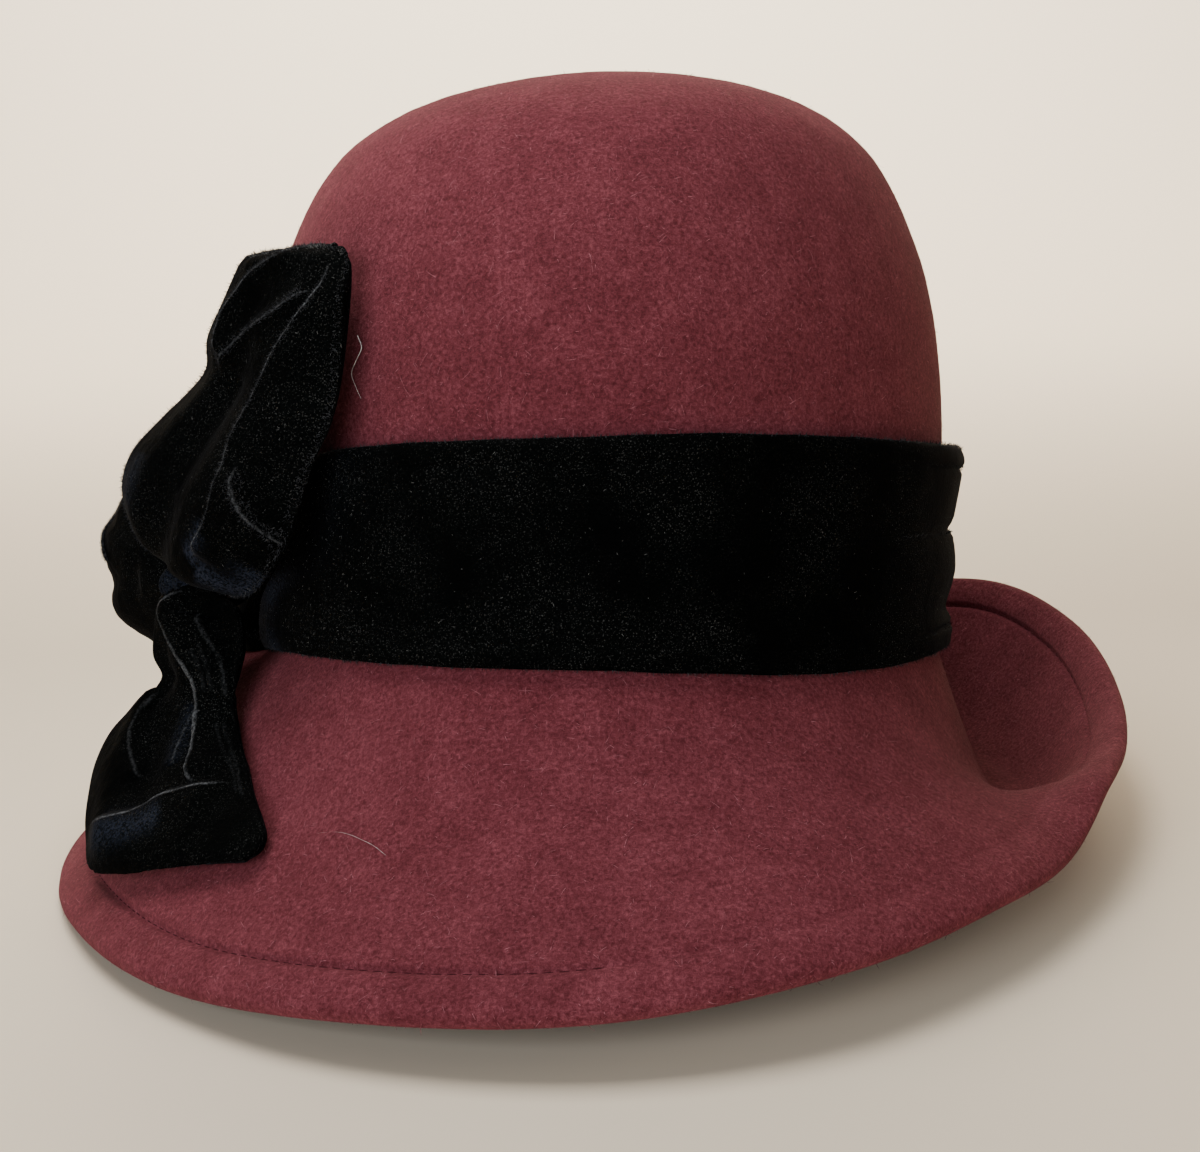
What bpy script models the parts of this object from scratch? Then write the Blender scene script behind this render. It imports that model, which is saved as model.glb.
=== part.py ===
"""A cloche hat of wool felt with a velvet band and bow, at real size in metres, standing on a table.

The hat is worked out in its own upright frame: the origin is on the crown's axis at the brim break, the front
faces -Y and the bow is on the -X side. Azimuths are degrees from the front, turning towards the bow.
Then the whole hat leans back onto its rolled-up rear brim, as it rests by itself.
"""
import bmesh
import bpy
from collections import namedtuple
from math import cos, pi, radians, sin, sqrt
from mathutils import Matrix, Vector

# Felt body
FELT = 0.0022             # wall of the crown and the brim
HEM_WALL = 0.0042         # doubled felt along the rim
HEM_WIDTH = 0.0115        # how far the rim is turned under
CROWN_HEIGHT = 0.1484     # brim break to the top of the crown
DEPTH_RATIO = 1.137       # the head oval is longer front to back than side to side
AROUND = 60               # columns round the hat
BRIM_STEPS = 9            # rings from the break to the hem
HEM_STEP = 0.02           # the wall doubles within this share of the brim
SHARP = radians(50)       # edges sharper than this are drawn sharp

# The way it stands
LEAN_BACK = radians(11.0)
LEAN_SIDE = radians(2.5)
PRESS = 0.0016            # the felt gives this much where it rests

# Crown, from the brim break up: height, half width, and how far the section's middle is off the axis
CrownRow = namedtuple("CrownRow", "height half_width middle_x")
CROWN = [
    CrownRow(0.000, 0.0880, 0.0000),
    CrownRow(0.024, 0.0887, 0.0000),
    CrownRow(0.046, 0.0893, 0.0000),
    CrownRow(0.064, 0.0892, 0.0000),
    CrownRow(0.080, 0.0878, 0.0000),
    CrownRow(0.095, 0.0850, 0.0000),
    CrownRow(0.108, 0.0807, 0.0000),
    CrownRow(0.119, 0.0755, 0.0003),
    CrownRow(0.1278, 0.0690, 0.0010),
    CrownRow(0.1354, 0.0590, 0.0022),
    CrownRow(0.1408, 0.0465, 0.0040),
    CrownRow(0.1446, 0.0330, 0.0055),
    CrownRow(0.1472, 0.0175, 0.0068),
]
CROWN_TOP_X = 0.0075      # the top of the crown is a little off the axis

# Rim and brim: how far the rim is from the axis, its height, and the way the felt leaves the crown
# and reaches the rim (degrees below or above level, and how strongly it keeps that way)
RimRow = namedtuple("RimRow", "azimuth reach height leave leave_pull arrive arrive_pull")
RIM = [
    RimRow(0, 0.1540, -0.0665, -66, 0.028, -46, 0.026),
    RimRow(20, 0.1520, -0.0690, -66, 0.028, -47, 0.026),
    RimRow(40, 0.1470, -0.0695, -66, 0.028, -49, 0.026),
    RimRow(60, 0.1430, -0.0655, -66, 0.028, -48, 0.026),
    RimRow(80, 0.1420, -0.0605, -66, 0.028, -42, 0.026),
    RimRow(100, 0.1410, -0.0510, -66, 0.028, -34, 0.026),
    RimRow(120, 0.1390, -0.0410, -66, 0.028, -24, 0.026),
    RimRow(140, 0.1380, -0.0320, -68, 0.028, -8, 0.022),
    RimRow(160, 0.1380, -0.0220, -72, 0.030, 22, 0.020),
    RimRow(180, 0.1390, -0.0120, -75, 0.034, 50, 0.023),
    RimRow(200, 0.1420, 0.0010, -76, 0.0385, 62, 0.033),
    RimRow(220, 0.1450, 0.0120, -77, 0.0450, 68, 0.045),
    RimRow(235, 0.1460, 0.0140, -77, 0.0500, 69, 0.051),
    RimRow(250, 0.1440, 0.0045, -76, 0.0555, 67, 0.049),
    RimRow(270, 0.1385, -0.0140, -74, 0.0620, 60, 0.043),
    RimRow(285, 0.1360, -0.0245, -72, 0.0565, 38, 0.034),
    RimRow(297, 0.1362, -0.0315, -70, 0.0485, 8, 0.028),
    RimRow(310, 0.1385, -0.0450, -68, 0.036, -30, 0.026),
    RimRow(325, 0.1430, -0.0520, -66, 0.030, -42, 0.026),
    RimRow(342, 0.1508, -0.0595, -66, 0.028, -45, 0.026),
]

# Velvet band, a closed section from its lower edge up: height on the crown and distance off the felt
BandRow = namedtuple("BandRow", "height inner outer")
SEAT = 0.00035            # gap between pieces that touch
BAND = [
    BandRow(0.0005, SEAT + 0.0004, 0.0024),
    BandRow(0.0020, SEAT, 0.0042),
    BandRow(0.0065, SEAT, 0.0044),
    BandRow(0.0105, SEAT, 0.0034),
    BandRow(0.0210, SEAT, 0.0044),
    BandRow(0.0320, SEAT, 0.0032),
    BandRow(0.0430, SEAT, 0.0046),
    BandRow(0.0475, SEAT, 0.0056),
    BandRow(0.0505, SEAT, 0.0052),
    BandRow(0.0520, SEAT + 0.0004, 0.0032),
]

# Velvet bow. Each loop and the tail is a strip of velvet laid through rows from the knot outwards: the strip's
# right and left edge as seen from the front, how far it stands out at a fifth, two, three and four fifths of its
# width, and how far a loop's hidden side lies behind the line between its edges
VELVET = 0.0018           # wall of the bow's velvet
TAIL_VELVET = 0.0022      # the tail is the strip doubled flat
ACROSS = 10               # faces across a strip
ALONG = 2                 # faces from one row to the next
StripRow = namedtuple("StripRow", "place right_x right_y right_z left_x left_y left_z "
                                  "fold_1 fold_2 fold_3 fold_4 back")
UPPER_LOOP = [
    StripRow(0, -0.0985, -0.0500, 0.0222, -0.1095, -0.0425, 0.0222, 0.0020, 0.0035, 0.0035, 0.0020, 0.0035),
    StripRow(1, -0.0875, -0.0640, 0.0185, -0.1165, -0.0410, 0.0310, 0.0060, 0.0070, 0.0040, 0.0050, 0.0036),
    StripRow(2, -0.0755, -0.0800, 0.0215, -0.1175, -0.0380, 0.0410, 0.0080, 0.0090, 0.0050, 0.0065, 0.0042),
    StripRow(3, -0.0695, -0.0858, 0.0350, -0.1170, -0.0385, 0.0490, 0.0080, 0.0090, 0.0050, 0.0070, 0.0050),
    StripRow(4, -0.0640, -0.0900, 0.0485, -0.1085, -0.0420, 0.0565, 0.0070, 0.0080, 0.0040, 0.0055, 0.0055),
    StripRow(5, -0.0600, -0.0880, 0.0620, -0.0985, -0.0470, 0.0665, 0.0070, 0.0070, 0.0040, 0.0045, 0.0070),
    StripRow(6, -0.0580, -0.0875, 0.0750, -0.0945, -0.0500, 0.0750, 0.0060, 0.0065, 0.0040, 0.0040, 0.0060),
    StripRow(7, -0.0578, -0.0865, 0.0860, -0.0905, -0.0540, 0.0870, 0.0050, 0.0055, 0.0040, 0.0030, 0.0050),
    StripRow(8, -0.0595, -0.0845, 0.0922, -0.0875, -0.0590, 0.0925, 0.0040, 0.0045, 0.0035, 0.0030, 0.0040),
]
UPPER_LOOP_TIP = (-0.0715, -0.0740, 0.0960)
SIDE_LOOP = [
    StripRow(0, -0.1066, -0.0391, 0.0130, -0.1066, -0.0391, 0.0202, 0.0020, 0.0035, 0.0035, 0.0020, 0.0035),
    StripRow(1, -0.1110, -0.0270, 0.0050, -0.1150, -0.0270, 0.0360, 0.0070, 0.0090, 0.0080, 0.0060, 0.0110),
    StripRow(2, -0.1160, -0.0120, -0.0015, -0.1215, -0.0120, 0.0470, 0.0105, 0.0125, 0.0110, 0.0070, 0.0170),
    StripRow(3, -0.1140, 0.0080, -0.0010, -0.1195, 0.0080, 0.0490, 0.0105, 0.0135, 0.0125, 0.0080, 0.0160),
    StripRow(4, -0.1100, 0.0260, 0.0010, -0.1130, 0.0260, 0.0460, 0.0090, 0.0120, 0.0110, 0.0070, 0.0125),
    StripRow(5, -0.1045, 0.0370, 0.0060, -0.1070, 0.0370, 0.0400, 0.0060, 0.0080, 0.0070, 0.0050, 0.0075),
]
SIDE_LOOP_TIP = (-0.1045, 0.0440, 0.0230)
TAIL = [
    StripRow(0, -0.0975, -0.0500, 0.0118, -0.1090, -0.0425, 0.0118, 0.0010, 0.0025, 0.0020, 0.0010, 0.0),
    StripRow(1, -0.0880, -0.0580, 0.0030, -0.1114, -0.0400, 0.0024, 0.0020, 0.0045, 0.0040, 0.0010, 0.0),
    StripRow(2, -0.0872, -0.0630, -0.0082, -0.1098, -0.0430, -0.0086, 0.0020, 0.0050, 0.0055, 0.0000, 0.0),
    StripRow(3, -0.0865, -0.0675, -0.0151, -0.1195, -0.0400, -0.0180, 0.0025, 0.0070, 0.0015, 0.0020, 0.0),
    StripRow(4, -0.0834, -0.0785, -0.0233, -0.1250, -0.0420, -0.0278, 0.0025, 0.0070, 0.0005, 0.0045, 0.0),
    StripRow(5, -0.0790, -0.0920, -0.0307, -0.1253, -0.0500, -0.0374, 0.0040, 0.0060, 0.0030, 0.0055, 0.0),
    StripRow(6, -0.0754, -0.1020, -0.0361, -0.1229, -0.0600, -0.0445, 0.0045, 0.0065, 0.0065, 0.0050, 0.0),
    StripRow(7, -0.0763, -0.1070, -0.0412, -0.1183, -0.0720, -0.0497, 0.0020, 0.0030, 0.0030, 0.0020, 0.0),
]
KNOT_AZIMUTH = radians(66.6)
KNOT_REACH = (0.0946, 0.1195)   # from the band's face outwards, measured from the crown's axis
KNOT_WIDTH = 0.0120
KNOT_HEIGHTS = (0.0122, 0.0208)
KNOT_ROUND = 0.0035


def between(rows, place, period=None):
    """All the columns of a table at a place along its first column, by a smooth curve through the rows."""
    places = [row[0] for row in rows]
    values = [row[1:] for row in rows]
    if period:
        place = places[0] + (place - places[0]) % period
        places = [places[-1] - period] + places + [places[0] + period, places[1] + period]
        values = [values[-1]] + values + [values[0], values[1]]
    last = len(places) - 2
    span = min(max(sum(1 for p in places if p <= place) - 1, 0), last)
    width = places[span + 1] - places[span]
    t = min(max((place - places[span]) / width, 0.0), 1.0)

    def slope(index, column):
        low = max(index - 1, 0)
        high = min(index + 1, last + 1)
        return (values[high][column] - values[low][column]) / (places[high] - places[low])

    result = []
    for column in range(len(values[0])):
        start, end = values[span][column], values[span + 1][column]
        rise = slope(span, column) * width
        fall = slope(span + 1, column) * width
        result.append((2 * t**3 - 3 * t**2 + 1) * start + (t**3 - 2 * t**2 + t) * rise
                      + (3 * t**2 - 2 * t**3) * end + (t**3 - t**2) * fall)
    return result


def oval_radius(azimuth, half_width):
    """Distance from the axis to the crown's oval at an azimuth."""
    across = sin(azimuth) / half_width
    along = cos(azimuth) / (half_width * DEPTH_RATIO)
    return 1.0 / sqrt(across**2 + along**2)


def hat_point(azimuth, radius, height, middle_x=0.0):
    """A point of the upright hat."""
    return Vector((middle_x - radius * sin(azimuth), -radius * cos(azimuth), height))


def crown_outline(azimuth):
    """The outside of the crown from near the top down to the break, as radius, height, middle x."""
    return [(oval_radius(azimuth, row.half_width), row.height, row.middle_x) for row in reversed(CROWN)]


def brim_curve(azimuth):
    """The four control points of the brim's section at an azimuth, as radius and height."""
    reach, height, leave, leave_pull, arrive, arrive_pull = between(RIM, azimuth * 180 / pi, 360)
    start = oval_radius(azimuth, CROWN[0].half_width)
    leave, arrive = radians(leave), radians(arrive)
    half_hem = 0.5 * HEM_WALL
    end = (reach - half_hem * (cos(arrive) + sin(arrive)), height + half_hem * (cos(arrive) - sin(arrive)))
    return [(start, 0.0),
            (start + leave_pull * cos(leave), leave_pull * sin(leave)),
            (end[0] - arrive_pull * cos(arrive), end[1] - arrive_pull * sin(arrive)),
            end]


def curve_point(controls, t):
    """A point of a cubic curve."""
    weights = ((1 - t)**3, 3 * t * (1 - t)**2, 3 * t**2 * (1 - t), t**3)
    return [sum(w * point[axis] for w, point in zip(weights, controls)) for axis in (0, 1)]


def curve_length(controls, steps=24):
    """Length of a cubic curve."""
    points = [Vector(curve_point(controls, k / steps)) for k in range(steps + 1)]
    return sum((b - a).length for a, b in zip(points, points[1:]))


def brim_outline(azimuth):
    """The upper side of the brim from the break to the rim, with rings on both sides of the hem's stitch."""
    controls = brim_curve(azimuth)
    hem = 1.0 - HEM_WIDTH / curve_length(controls)
    stations = [hem * (step + 1) / BRIM_STEPS for step in range(BRIM_STEPS)]
    stations += [hem + HEM_STEP, 0.5 * (hem + 1.0), 1.0]
    return [curve_point(controls, t) for t in stations]


def felt_outline(azimuth):
    """Outside and inside of the felt wall at an azimuth, as two lists of radius, height, middle x."""
    brim = brim_outline(azimuth)
    outside = crown_outline(azimuth) + [(radius, height, 0.0) for radius, height in brim]
    hem_start = len(outside) - 3
    inside = []
    for index, (radius, height, middle_x) in enumerate(outside):
        above = outside[max(index - 1, 0)]
        below = outside[min(index + 1, len(outside) - 1)]
        along = Vector((below[0] - above[0], below[1] - above[1])).normalized()
        wall = HEM_WALL if index >= hem_start else FELT
        inside.append((radius + wall * along.y, height - wall * along.x, middle_x))
    return outside, inside


def rest_frame():
    """The lean of the resting hat, without its lift off the table."""
    return Matrix.Rotation(LEAN_SIDE, 3, "Y") @ Matrix.Rotation(-LEAN_BACK, 3, "X")


def felt_rings():
    """Rings of the felt wall from the outer top, over the rim, to the inner top, in the leaning frame."""
    lean = rest_frame()
    columns = []
    for step in range(AROUND):
        azimuth = 2 * pi * step / AROUND
        outside, inside = felt_outline(azimuth)
        outer = [lean @ hat_point(azimuth, *place) for place in outside]
        inner = [lean @ hat_point(azimuth, *place) for place in inside]
        columns.append((outer, inner))
    table = min(point.z for outer, inner in columns for point in outer + inner) + PRESS
    columns_on_table = []
    for outer, inner in columns:
        for top, under in zip(outer, inner):
            lift = max(0.0, table - min(under.z, top.z))
            top.z += lift
            under.z += lift
        edge = 0.5 * (outer[-1] + inner[-1])
        outward = (outer[-1] - outer[-2]).normalized()
        edge += 0.5 * HEM_WALL * outward
        edge.z = max(edge.z, table)
        columns_on_table.append(outer + [edge] + list(reversed(inner)))
    return [list(ring) for ring in zip(*columns_on_table)], table


def crown_tops(lean):
    """The outer and inner top points of the crown."""
    return [lean @ Vector((CROWN_TOP_X, 0.0, height)) for height in (CROWN_HEIGHT, CROWN_HEIGHT - FELT)]


def loft(rings, closed=True, poles=None, tube=False):
    """Vertices and faces of a skin through rings of equal count, with an optional pole at each end."""
    count = len(rings[0])
    points = [point for ring in rings for point in ring]
    faces = []
    pairs = [(k, k + 1) for k in range(len(rings) - 1)]
    if tube:
        pairs.append((len(rings) - 1, 0))
    for low, high in pairs:
        for step in range(count if closed else count - 1):
            after = (step + 1) % count
            faces.append((low * count + step, low * count + after, high * count + after, high * count + step))
    if poles:
        first, last = len(points), len(points) + 1
        points += poles
        end = (len(rings) - 1) * count
        for step in range(count):
            after = (step + 1) % count
            faces.append((first, after, step))
            faces.append((last, end + step, end + after))
    return points, faces


def add_object(name, points, faces, material, collection):
    """A mesh object of one sub-part, with its faces pointing out."""
    mesh = bpy.data.meshes.new(name)
    mesh.from_pydata([tuple(point) for point in points], [], faces)
    mesh.materials.append(material)
    mesh.shade_smooth()
    mesh.set_sharp_from_angle(angle=SHARP)
    part = bpy.data.objects.new(name, mesh)
    collection.objects.link(part)
    return part


def make_material(name, color, roughness):
    """A plain finish with no metal in it."""
    material = bpy.data.materials.new(name)
    material.use_nodes = True
    shader = material.node_tree.nodes["Principled BSDF"]
    shader.inputs["Base Color"].default_value = (*color, 1.0)
    shader.inputs["Roughness"].default_value = roughness
    shader.inputs["Metallic"].default_value = 0.0
    return material


def make_felt_body(felt, collection):
    """Crown and brim, one piece of felt."""
    rings, table = felt_rings()
    points, faces = loft(rings, poles=crown_tops(rest_frame()))
    return add_object("felt_body", points, faces, felt, collection), table


def make_band(velvet, collection):
    """The velvet band round the foot of the crown."""
    lean = rest_frame()
    sections = []
    for step in range(AROUND):
        azimuth = 2 * pi * step / AROUND
        outer, inner = [], []
        for row in BAND:
            half_width = between(CROWN, row.height)[0]
            radius = oval_radius(azimuth, half_width)
            outer.append(lean @ hat_point(azimuth, radius + row.outer, row.height))
            inner.append(lean @ hat_point(azimuth, radius + row.inner, row.height))
        sections.append(outer + list(reversed(inner)))
    points, faces = loft(sections, tube=True)
    return add_object("hat_band", points, faces, velvet, collection)


def strip_frame(row):
    """Edges of a strip's row and the direction in which it stands out from the hat."""
    right = Vector(row[0:3])
    left = Vector(row[3:6])
    across = left - right
    middle = 0.5 * (left + right)
    away = Vector((middle.x, middle.y, 0.0))
    away -= away.project(across)
    return right, left, away.normalized()


def strip_line(row, steps=ACROSS):
    """The seen side of a strip's row, from its right to its left edge."""
    right, left, away = strip_frame(row)
    folds = [(0.0, 0.0)] + [(0.2 * (k + 1), row[6 + k]) for k in range(4)] + [(1.0, 0.0)]
    stations = [k / steps for k in range(steps + 1)]
    return [right.lerp(left, q) + away * between(folds, q)[0] for q in stations]


def strip_ring(row):
    """A loop's row, out along the seen side and back along the hidden one."""
    right, left, away = strip_frame(row)
    hidden = []
    for k in range(ACROSS - 1, 0, -1):
        q = k / ACROSS
        hidden.append(right.lerp(left, q) - away * row[10] * sqrt(sin(pi * q)))
    return strip_line(row) + hidden


def strip_rows(table):
    """The rows of a strip's table with the steps between them."""
    count = ALONG * (len(table) - 1)
    return [between(table, table[-1].place * k / count) for k in range(count + 1)]


def add_wall(part, thickness, offset):
    """Thickens an open skin."""
    wall = part.modifiers.new("wall", "SOLIDIFY")
    wall.thickness = thickness
    wall.offset = offset
    wall.use_even_offset = False


def make_loop(name, table, tip, velvet, collection):
    """A hollow velvet loop, open where the knot gathers it."""
    lean = rest_frame()
    rings = [strip_ring(row) for row in strip_rows(table)]
    rings = [[lean @ point for point in ring] for ring in rings]
    points, faces = loft(rings)
    last = len(points)
    points.append(lean @ Vector(tip))
    start = last - len(rings[0])
    for step in range(len(rings[0])):
        faces.append((last, start + step, start + (step + 1) % len(rings[0])))
    part = add_object(name, points, faces, velvet, collection)
    add_wall(part, VELVET, -1.0)
    return part


def make_tail(velvet, collection):
    """The tail, a doubled strip that hangs from the knot over the brim."""
    lean = rest_frame()
    lines = [[lean @ point for point in strip_line(row)] for row in strip_rows(TAIL)]
    points, faces = loft(lines, closed=False)
    part = add_object("bow_tail", points, faces, velvet, collection)
    add_wall(part, TAIL_VELVET, 0.0)
    return part


def make_knot(velvet, collection):
    """The wound velvet in the middle of the bow, seated on the band."""
    mesh = bpy.data.meshes.new("bow_knot")
    shape = bmesh.new()
    bmesh.ops.create_cube(shape, size=1.0)
    length = KNOT_REACH[1] - KNOT_REACH[0]
    height = KNOT_HEIGHTS[1] - KNOT_HEIGHTS[0]
    bmesh.ops.scale(shape, vec=(KNOT_WIDTH, length, height), verts=shape.verts)
    bmesh.ops.bevel(shape, geom=shape.edges, offset=KNOT_ROUND, segments=3, profile=0.5, affect="EDGES",
                    material=-1)
    middle = hat_point(KNOT_AZIMUTH, sum(KNOT_REACH) / 2, sum(KNOT_HEIGHTS) / 2)
    place = Matrix.Translation(middle) @ Matrix.Rotation(-KNOT_AZIMUTH, 4, "Z")
    shape.transform(rest_frame().to_4x4() @ place)
    shape.to_mesh(mesh)
    shape.free()
    mesh.materials.append(velvet)
    mesh.shade_smooth()
    mesh.set_sharp_from_angle(angle=SHARP)
    part = bpy.data.objects.new("bow_knot", mesh)
    collection.objects.link(part)
    return part


def stand_on_table(parts, table):
    """Puts the table at height zero and the middle of the hat's box over the origin."""
    corners = [vertex.co for part in parts for vertex in part.data.vertices]
    low = Vector([min(corner[axis] for corner in corners) for axis in range(3)])
    high = Vector([max(corner[axis] for corner in corners) for axis in range(3)])
    foot = Vector((-(low.x + high.x) / 2, -(low.y + high.y) / 2, -table))
    for part in parts:
        part.data.transform(Matrix.Translation(foot))


def main():
    """Builds the hat."""
    for old in list(bpy.data.objects):
        bpy.data.objects.remove(old, do_unlink=True)
    collection = bpy.data.collections.new("cloche_hat")
    bpy.context.scene.collection.children.link(collection)
    felt = make_material("burgundy_felt", (0.13, 0.022, 0.035), 0.95)
    velvet = make_material("black_velvet", (0.004, 0.004, 0.005), 0.9)
    felt_body, table = make_felt_body(felt, collection)
    band = make_band(velvet, collection)
    upper_loop = make_loop("bow_upper_loop", UPPER_LOOP, UPPER_LOOP_TIP, velvet, collection)
    side_loop = make_loop("bow_side_loop", SIDE_LOOP, SIDE_LOOP_TIP, velvet, collection)
    tail = make_tail(velvet, collection)
    knot = make_knot(velvet, collection)
    stand_on_table([felt_body, band, upper_loop, side_loop, tail, knot], table)


main()
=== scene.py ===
"""A wool felt cloche hat with a velvet band and a velvet bow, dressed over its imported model.

Distances are metres. Each piece is worked out in the hat's own upright frame: the origin is on the crown's axis
where the brim begins, the front faces -Y and the bow is on the -X side. Azimuths run from the front towards the
bow. `at_rest` then leans a piece back onto the rolled-up rear brim, the way the hat stands on a table.
"""
from bisect import bisect_right
from collections import namedtuple
from math import atan2, cos, exp, pi, radians, sin, sqrt
from random import Random

import bmesh
import bpy
from mathutils import Matrix, Vector, noise
from mathutils.kdtree import KDTree


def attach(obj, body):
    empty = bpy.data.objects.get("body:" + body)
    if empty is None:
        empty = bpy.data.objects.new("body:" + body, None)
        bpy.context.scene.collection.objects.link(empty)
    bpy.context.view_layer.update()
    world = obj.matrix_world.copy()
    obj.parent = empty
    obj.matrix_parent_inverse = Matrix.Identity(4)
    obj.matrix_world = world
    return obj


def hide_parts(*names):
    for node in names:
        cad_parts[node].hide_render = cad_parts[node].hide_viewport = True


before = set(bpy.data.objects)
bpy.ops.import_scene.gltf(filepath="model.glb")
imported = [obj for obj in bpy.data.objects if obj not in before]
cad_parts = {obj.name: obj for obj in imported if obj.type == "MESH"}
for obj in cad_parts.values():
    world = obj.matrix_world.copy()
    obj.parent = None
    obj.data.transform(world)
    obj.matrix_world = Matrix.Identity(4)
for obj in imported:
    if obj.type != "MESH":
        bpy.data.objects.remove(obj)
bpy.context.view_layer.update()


# The way the hat stands: it leans back onto its rolled-up rear brim and a little towards the bow's side. The camera
# looks at it from the front, a little above the brim, from just over half a metre away.
LEAN_BACK = radians(11.0)
LEAN_SIDE = radians(2.5)
LEAN = Matrix.Rotation(LEAN_SIDE, 3, "Y") @ Matrix.Rotation(-LEAN_BACK, 3, "X")
FOOT = Vector((0.002230, 0.014517, 0.048698))   # where the upright hat's origin is once it stands
CAMERA_PLACE = (0.0, -0.565, 0.032)
CAMERA_PITCH = radians(1.473)
CAMERA_LENS_MM = 63.0
CAMERA_SENSOR_MM = 36.0
CAMERA_SHIFT = -4 / 1200         # as a share of the picture's width
CAMERA_NEAR = 0.01


def at_rest(point):
    """A point of the upright hat as it stands on the table."""
    return LEAN @ Vector(point) + FOOT


def add_object(name, data):
    """Puts a mesh, a lamp or the camera into the scene."""
    made = bpy.data.objects.new(name, data)
    bpy.context.scene.collection.objects.link(made)
    return made


camera_lens = bpy.data.cameras.new("photo_camera")
camera_lens.lens = CAMERA_LENS_MM
camera_lens.sensor_width = CAMERA_SENSOR_MM
camera_lens.shift_x = CAMERA_SHIFT
camera_lens.clip_start = CAMERA_NEAR
camera = add_object("photo_camera", camera_lens)
camera.matrix_world = (Matrix.Translation(FOOT) @ LEAN.to_4x4() @ Matrix.Translation(CAMERA_PLACE)
                       @ Matrix.Rotation(pi / 2 - CAMERA_PITCH, 4, "X"))
bpy.context.scene.camera = camera


# The felt body: crown and brim are one cone of burgundy wool felt, steamed and pulled over a block. The rim is
# turned under and stitched down, so it is twice as thick there, and the rear brim is rolled up behind.
FELT = 0.0022
HEM_WALL = 0.0042
HEM_WIDTH = 0.0115        # from the rim to the stitched line
DEPTH_RATIO = 1.137       # the head oval is longer front to back than side to side
FELT_COLUMNS = 300        # round the hat
CROWN_STEPS = 3           # rings between two rows of the crown's table
BRIM_RINGS = 44           # rings from the crown to the hem's groove
RIM_RINGS = 8             # rings round the rounded rim
CURVE_STEPS = 40          # steps in which the brim's section is measured
HEM_FADE = 0.0012         # the doubled wall thins out over this, on both sides of the stitched line
GROOVE_DEPTH = 0.0007
GROOVE_WIDTH = 0.0011
HEM_BULGE = 0.0005        # the hem is a little thicker between its edges
FELT_LUMP = 0.00035       # how far the felt's surface is uneven
FELT_GRAIN = 0.00012
# The crown from its foot up. The row past the top mirrors the one before it, so that the curve is level at the top.
CrownRow = namedtuple("CrownRow", "place height half_width middle_x")
CROWN = [CrownRow(place, *row) for place, row in enumerate([
    (0.0, 0.0880, 0.0),
    (0.0240, 0.0887, 0.0),
    (0.0460, 0.0893, 0.0),
    (0.0640, 0.0892, 0.0),
    (0.0800, 0.0878, 0.0),
    (0.0950, 0.0850, 0.0),
    (0.1080, 0.0807, 0.0),
    (0.1190, 0.0755, 0.0003),
    (0.1278, 0.0690, 0.0010),
    (0.1354, 0.0590, 0.0022),
    (0.1408, 0.0465, 0.0040),
    (0.1446, 0.0330, 0.0055),
    (0.1472, 0.0175, 0.0068),
    (0.1484, 0.0, 0.0075),
    (0.1472, -0.0175, 0.0075),
])]
CROWN_TOP = 13
# Rim and brim: the rim's outermost edge, and the way the felt leaves the crown and reaches the rim, in degrees
# below or above level, and how strongly it keeps that way.
RimRow = namedtuple("RimRow", "azimuth reach height leave leave_pull arrive arrive_pull")
RIM = [RimRow(*row) for row in [
    (0, 0.1540, -0.0665, -66, 0.028, -46, 0.026),
    (20, 0.1520, -0.0690, -66, 0.028, -47, 0.026),
    (40, 0.1470, -0.0695, -66, 0.028, -49, 0.026),
    (60, 0.1430, -0.0655, -44, 0.022, -48, 0.026),
    (80, 0.1420, -0.0605, 5, 0.018, -44, 0.028),
    (100, 0.1410, -0.0510, -20, 0.020, -36, 0.026),
    (120, 0.1390, -0.0410, -54, 0.024, -24, 0.026),
    (140, 0.1380, -0.0320, -68, 0.028, -8, 0.022),
    (160, 0.1380, -0.0220, -72, 0.030, 22, 0.020),
    (180, 0.1390, -0.0120, -75, 0.034, 50, 0.023),
    (200, 0.1420, 0.0010, -76, 0.0385, 62, 0.033),
    (220, 0.1450, 0.0120, -77, 0.0450, 68, 0.045),
    (235, 0.1460, 0.0140, -77, 0.0500, 69, 0.051),
    (250, 0.1440, 0.0045, -76, 0.0555, 67, 0.049),
    (270, 0.1385, -0.0140, -74, 0.0620, 60, 0.043),
    (285, 0.1360, -0.0245, -72, 0.0565, 38, 0.034),
    (297, 0.1362, -0.0315, -70, 0.0485, 8, 0.028),
    (310, 0.1385, -0.0450, -68, 0.036, -30, 0.026),
    (325, 0.1430, -0.0520, -66, 0.030, -42, 0.026),
    (342, 0.1508, -0.0595, -66, 0.028, -45, 0.026),
]]


def between(rows, place, period=None):
    """All the columns of a table at a place along its first column, by a smooth curve through the rows."""
    places = [row[0] for row in rows]
    values = [row[1:] for row in rows]
    if period:
        place = places[0] + (place - places[0]) % period
        places = [places[-1] - period] + places + [places[0] + period, places[1] + period]
        values = [values[-1]] + values + [values[0], values[1]]
    last = len(places) - 2
    span = min(max(bisect_right(places, place) - 1, 0), last)
    width = places[span + 1] - places[span]
    t = min(max((place - places[span]) / width, 0.0), 1.0)

    def slope(index, column):
        low = max(index - 1, 0)
        high = min(index + 1, last + 1)
        return (values[high][column] - values[low][column]) / (places[high] - places[low])

    result = []
    for column in range(len(values[0])):
        start, end = values[span][column], values[span + 1][column]
        rise = slope(span, column) * width
        fall = slope(span + 1, column) * width
        result.append((2 * t**3 - 3 * t**2 + 1) * start + (t**3 - 2 * t**2 + t) * rise
                      + (3 * t**2 - 2 * t**3) * end + (t**3 - t**2) * fall)
    return result


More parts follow.
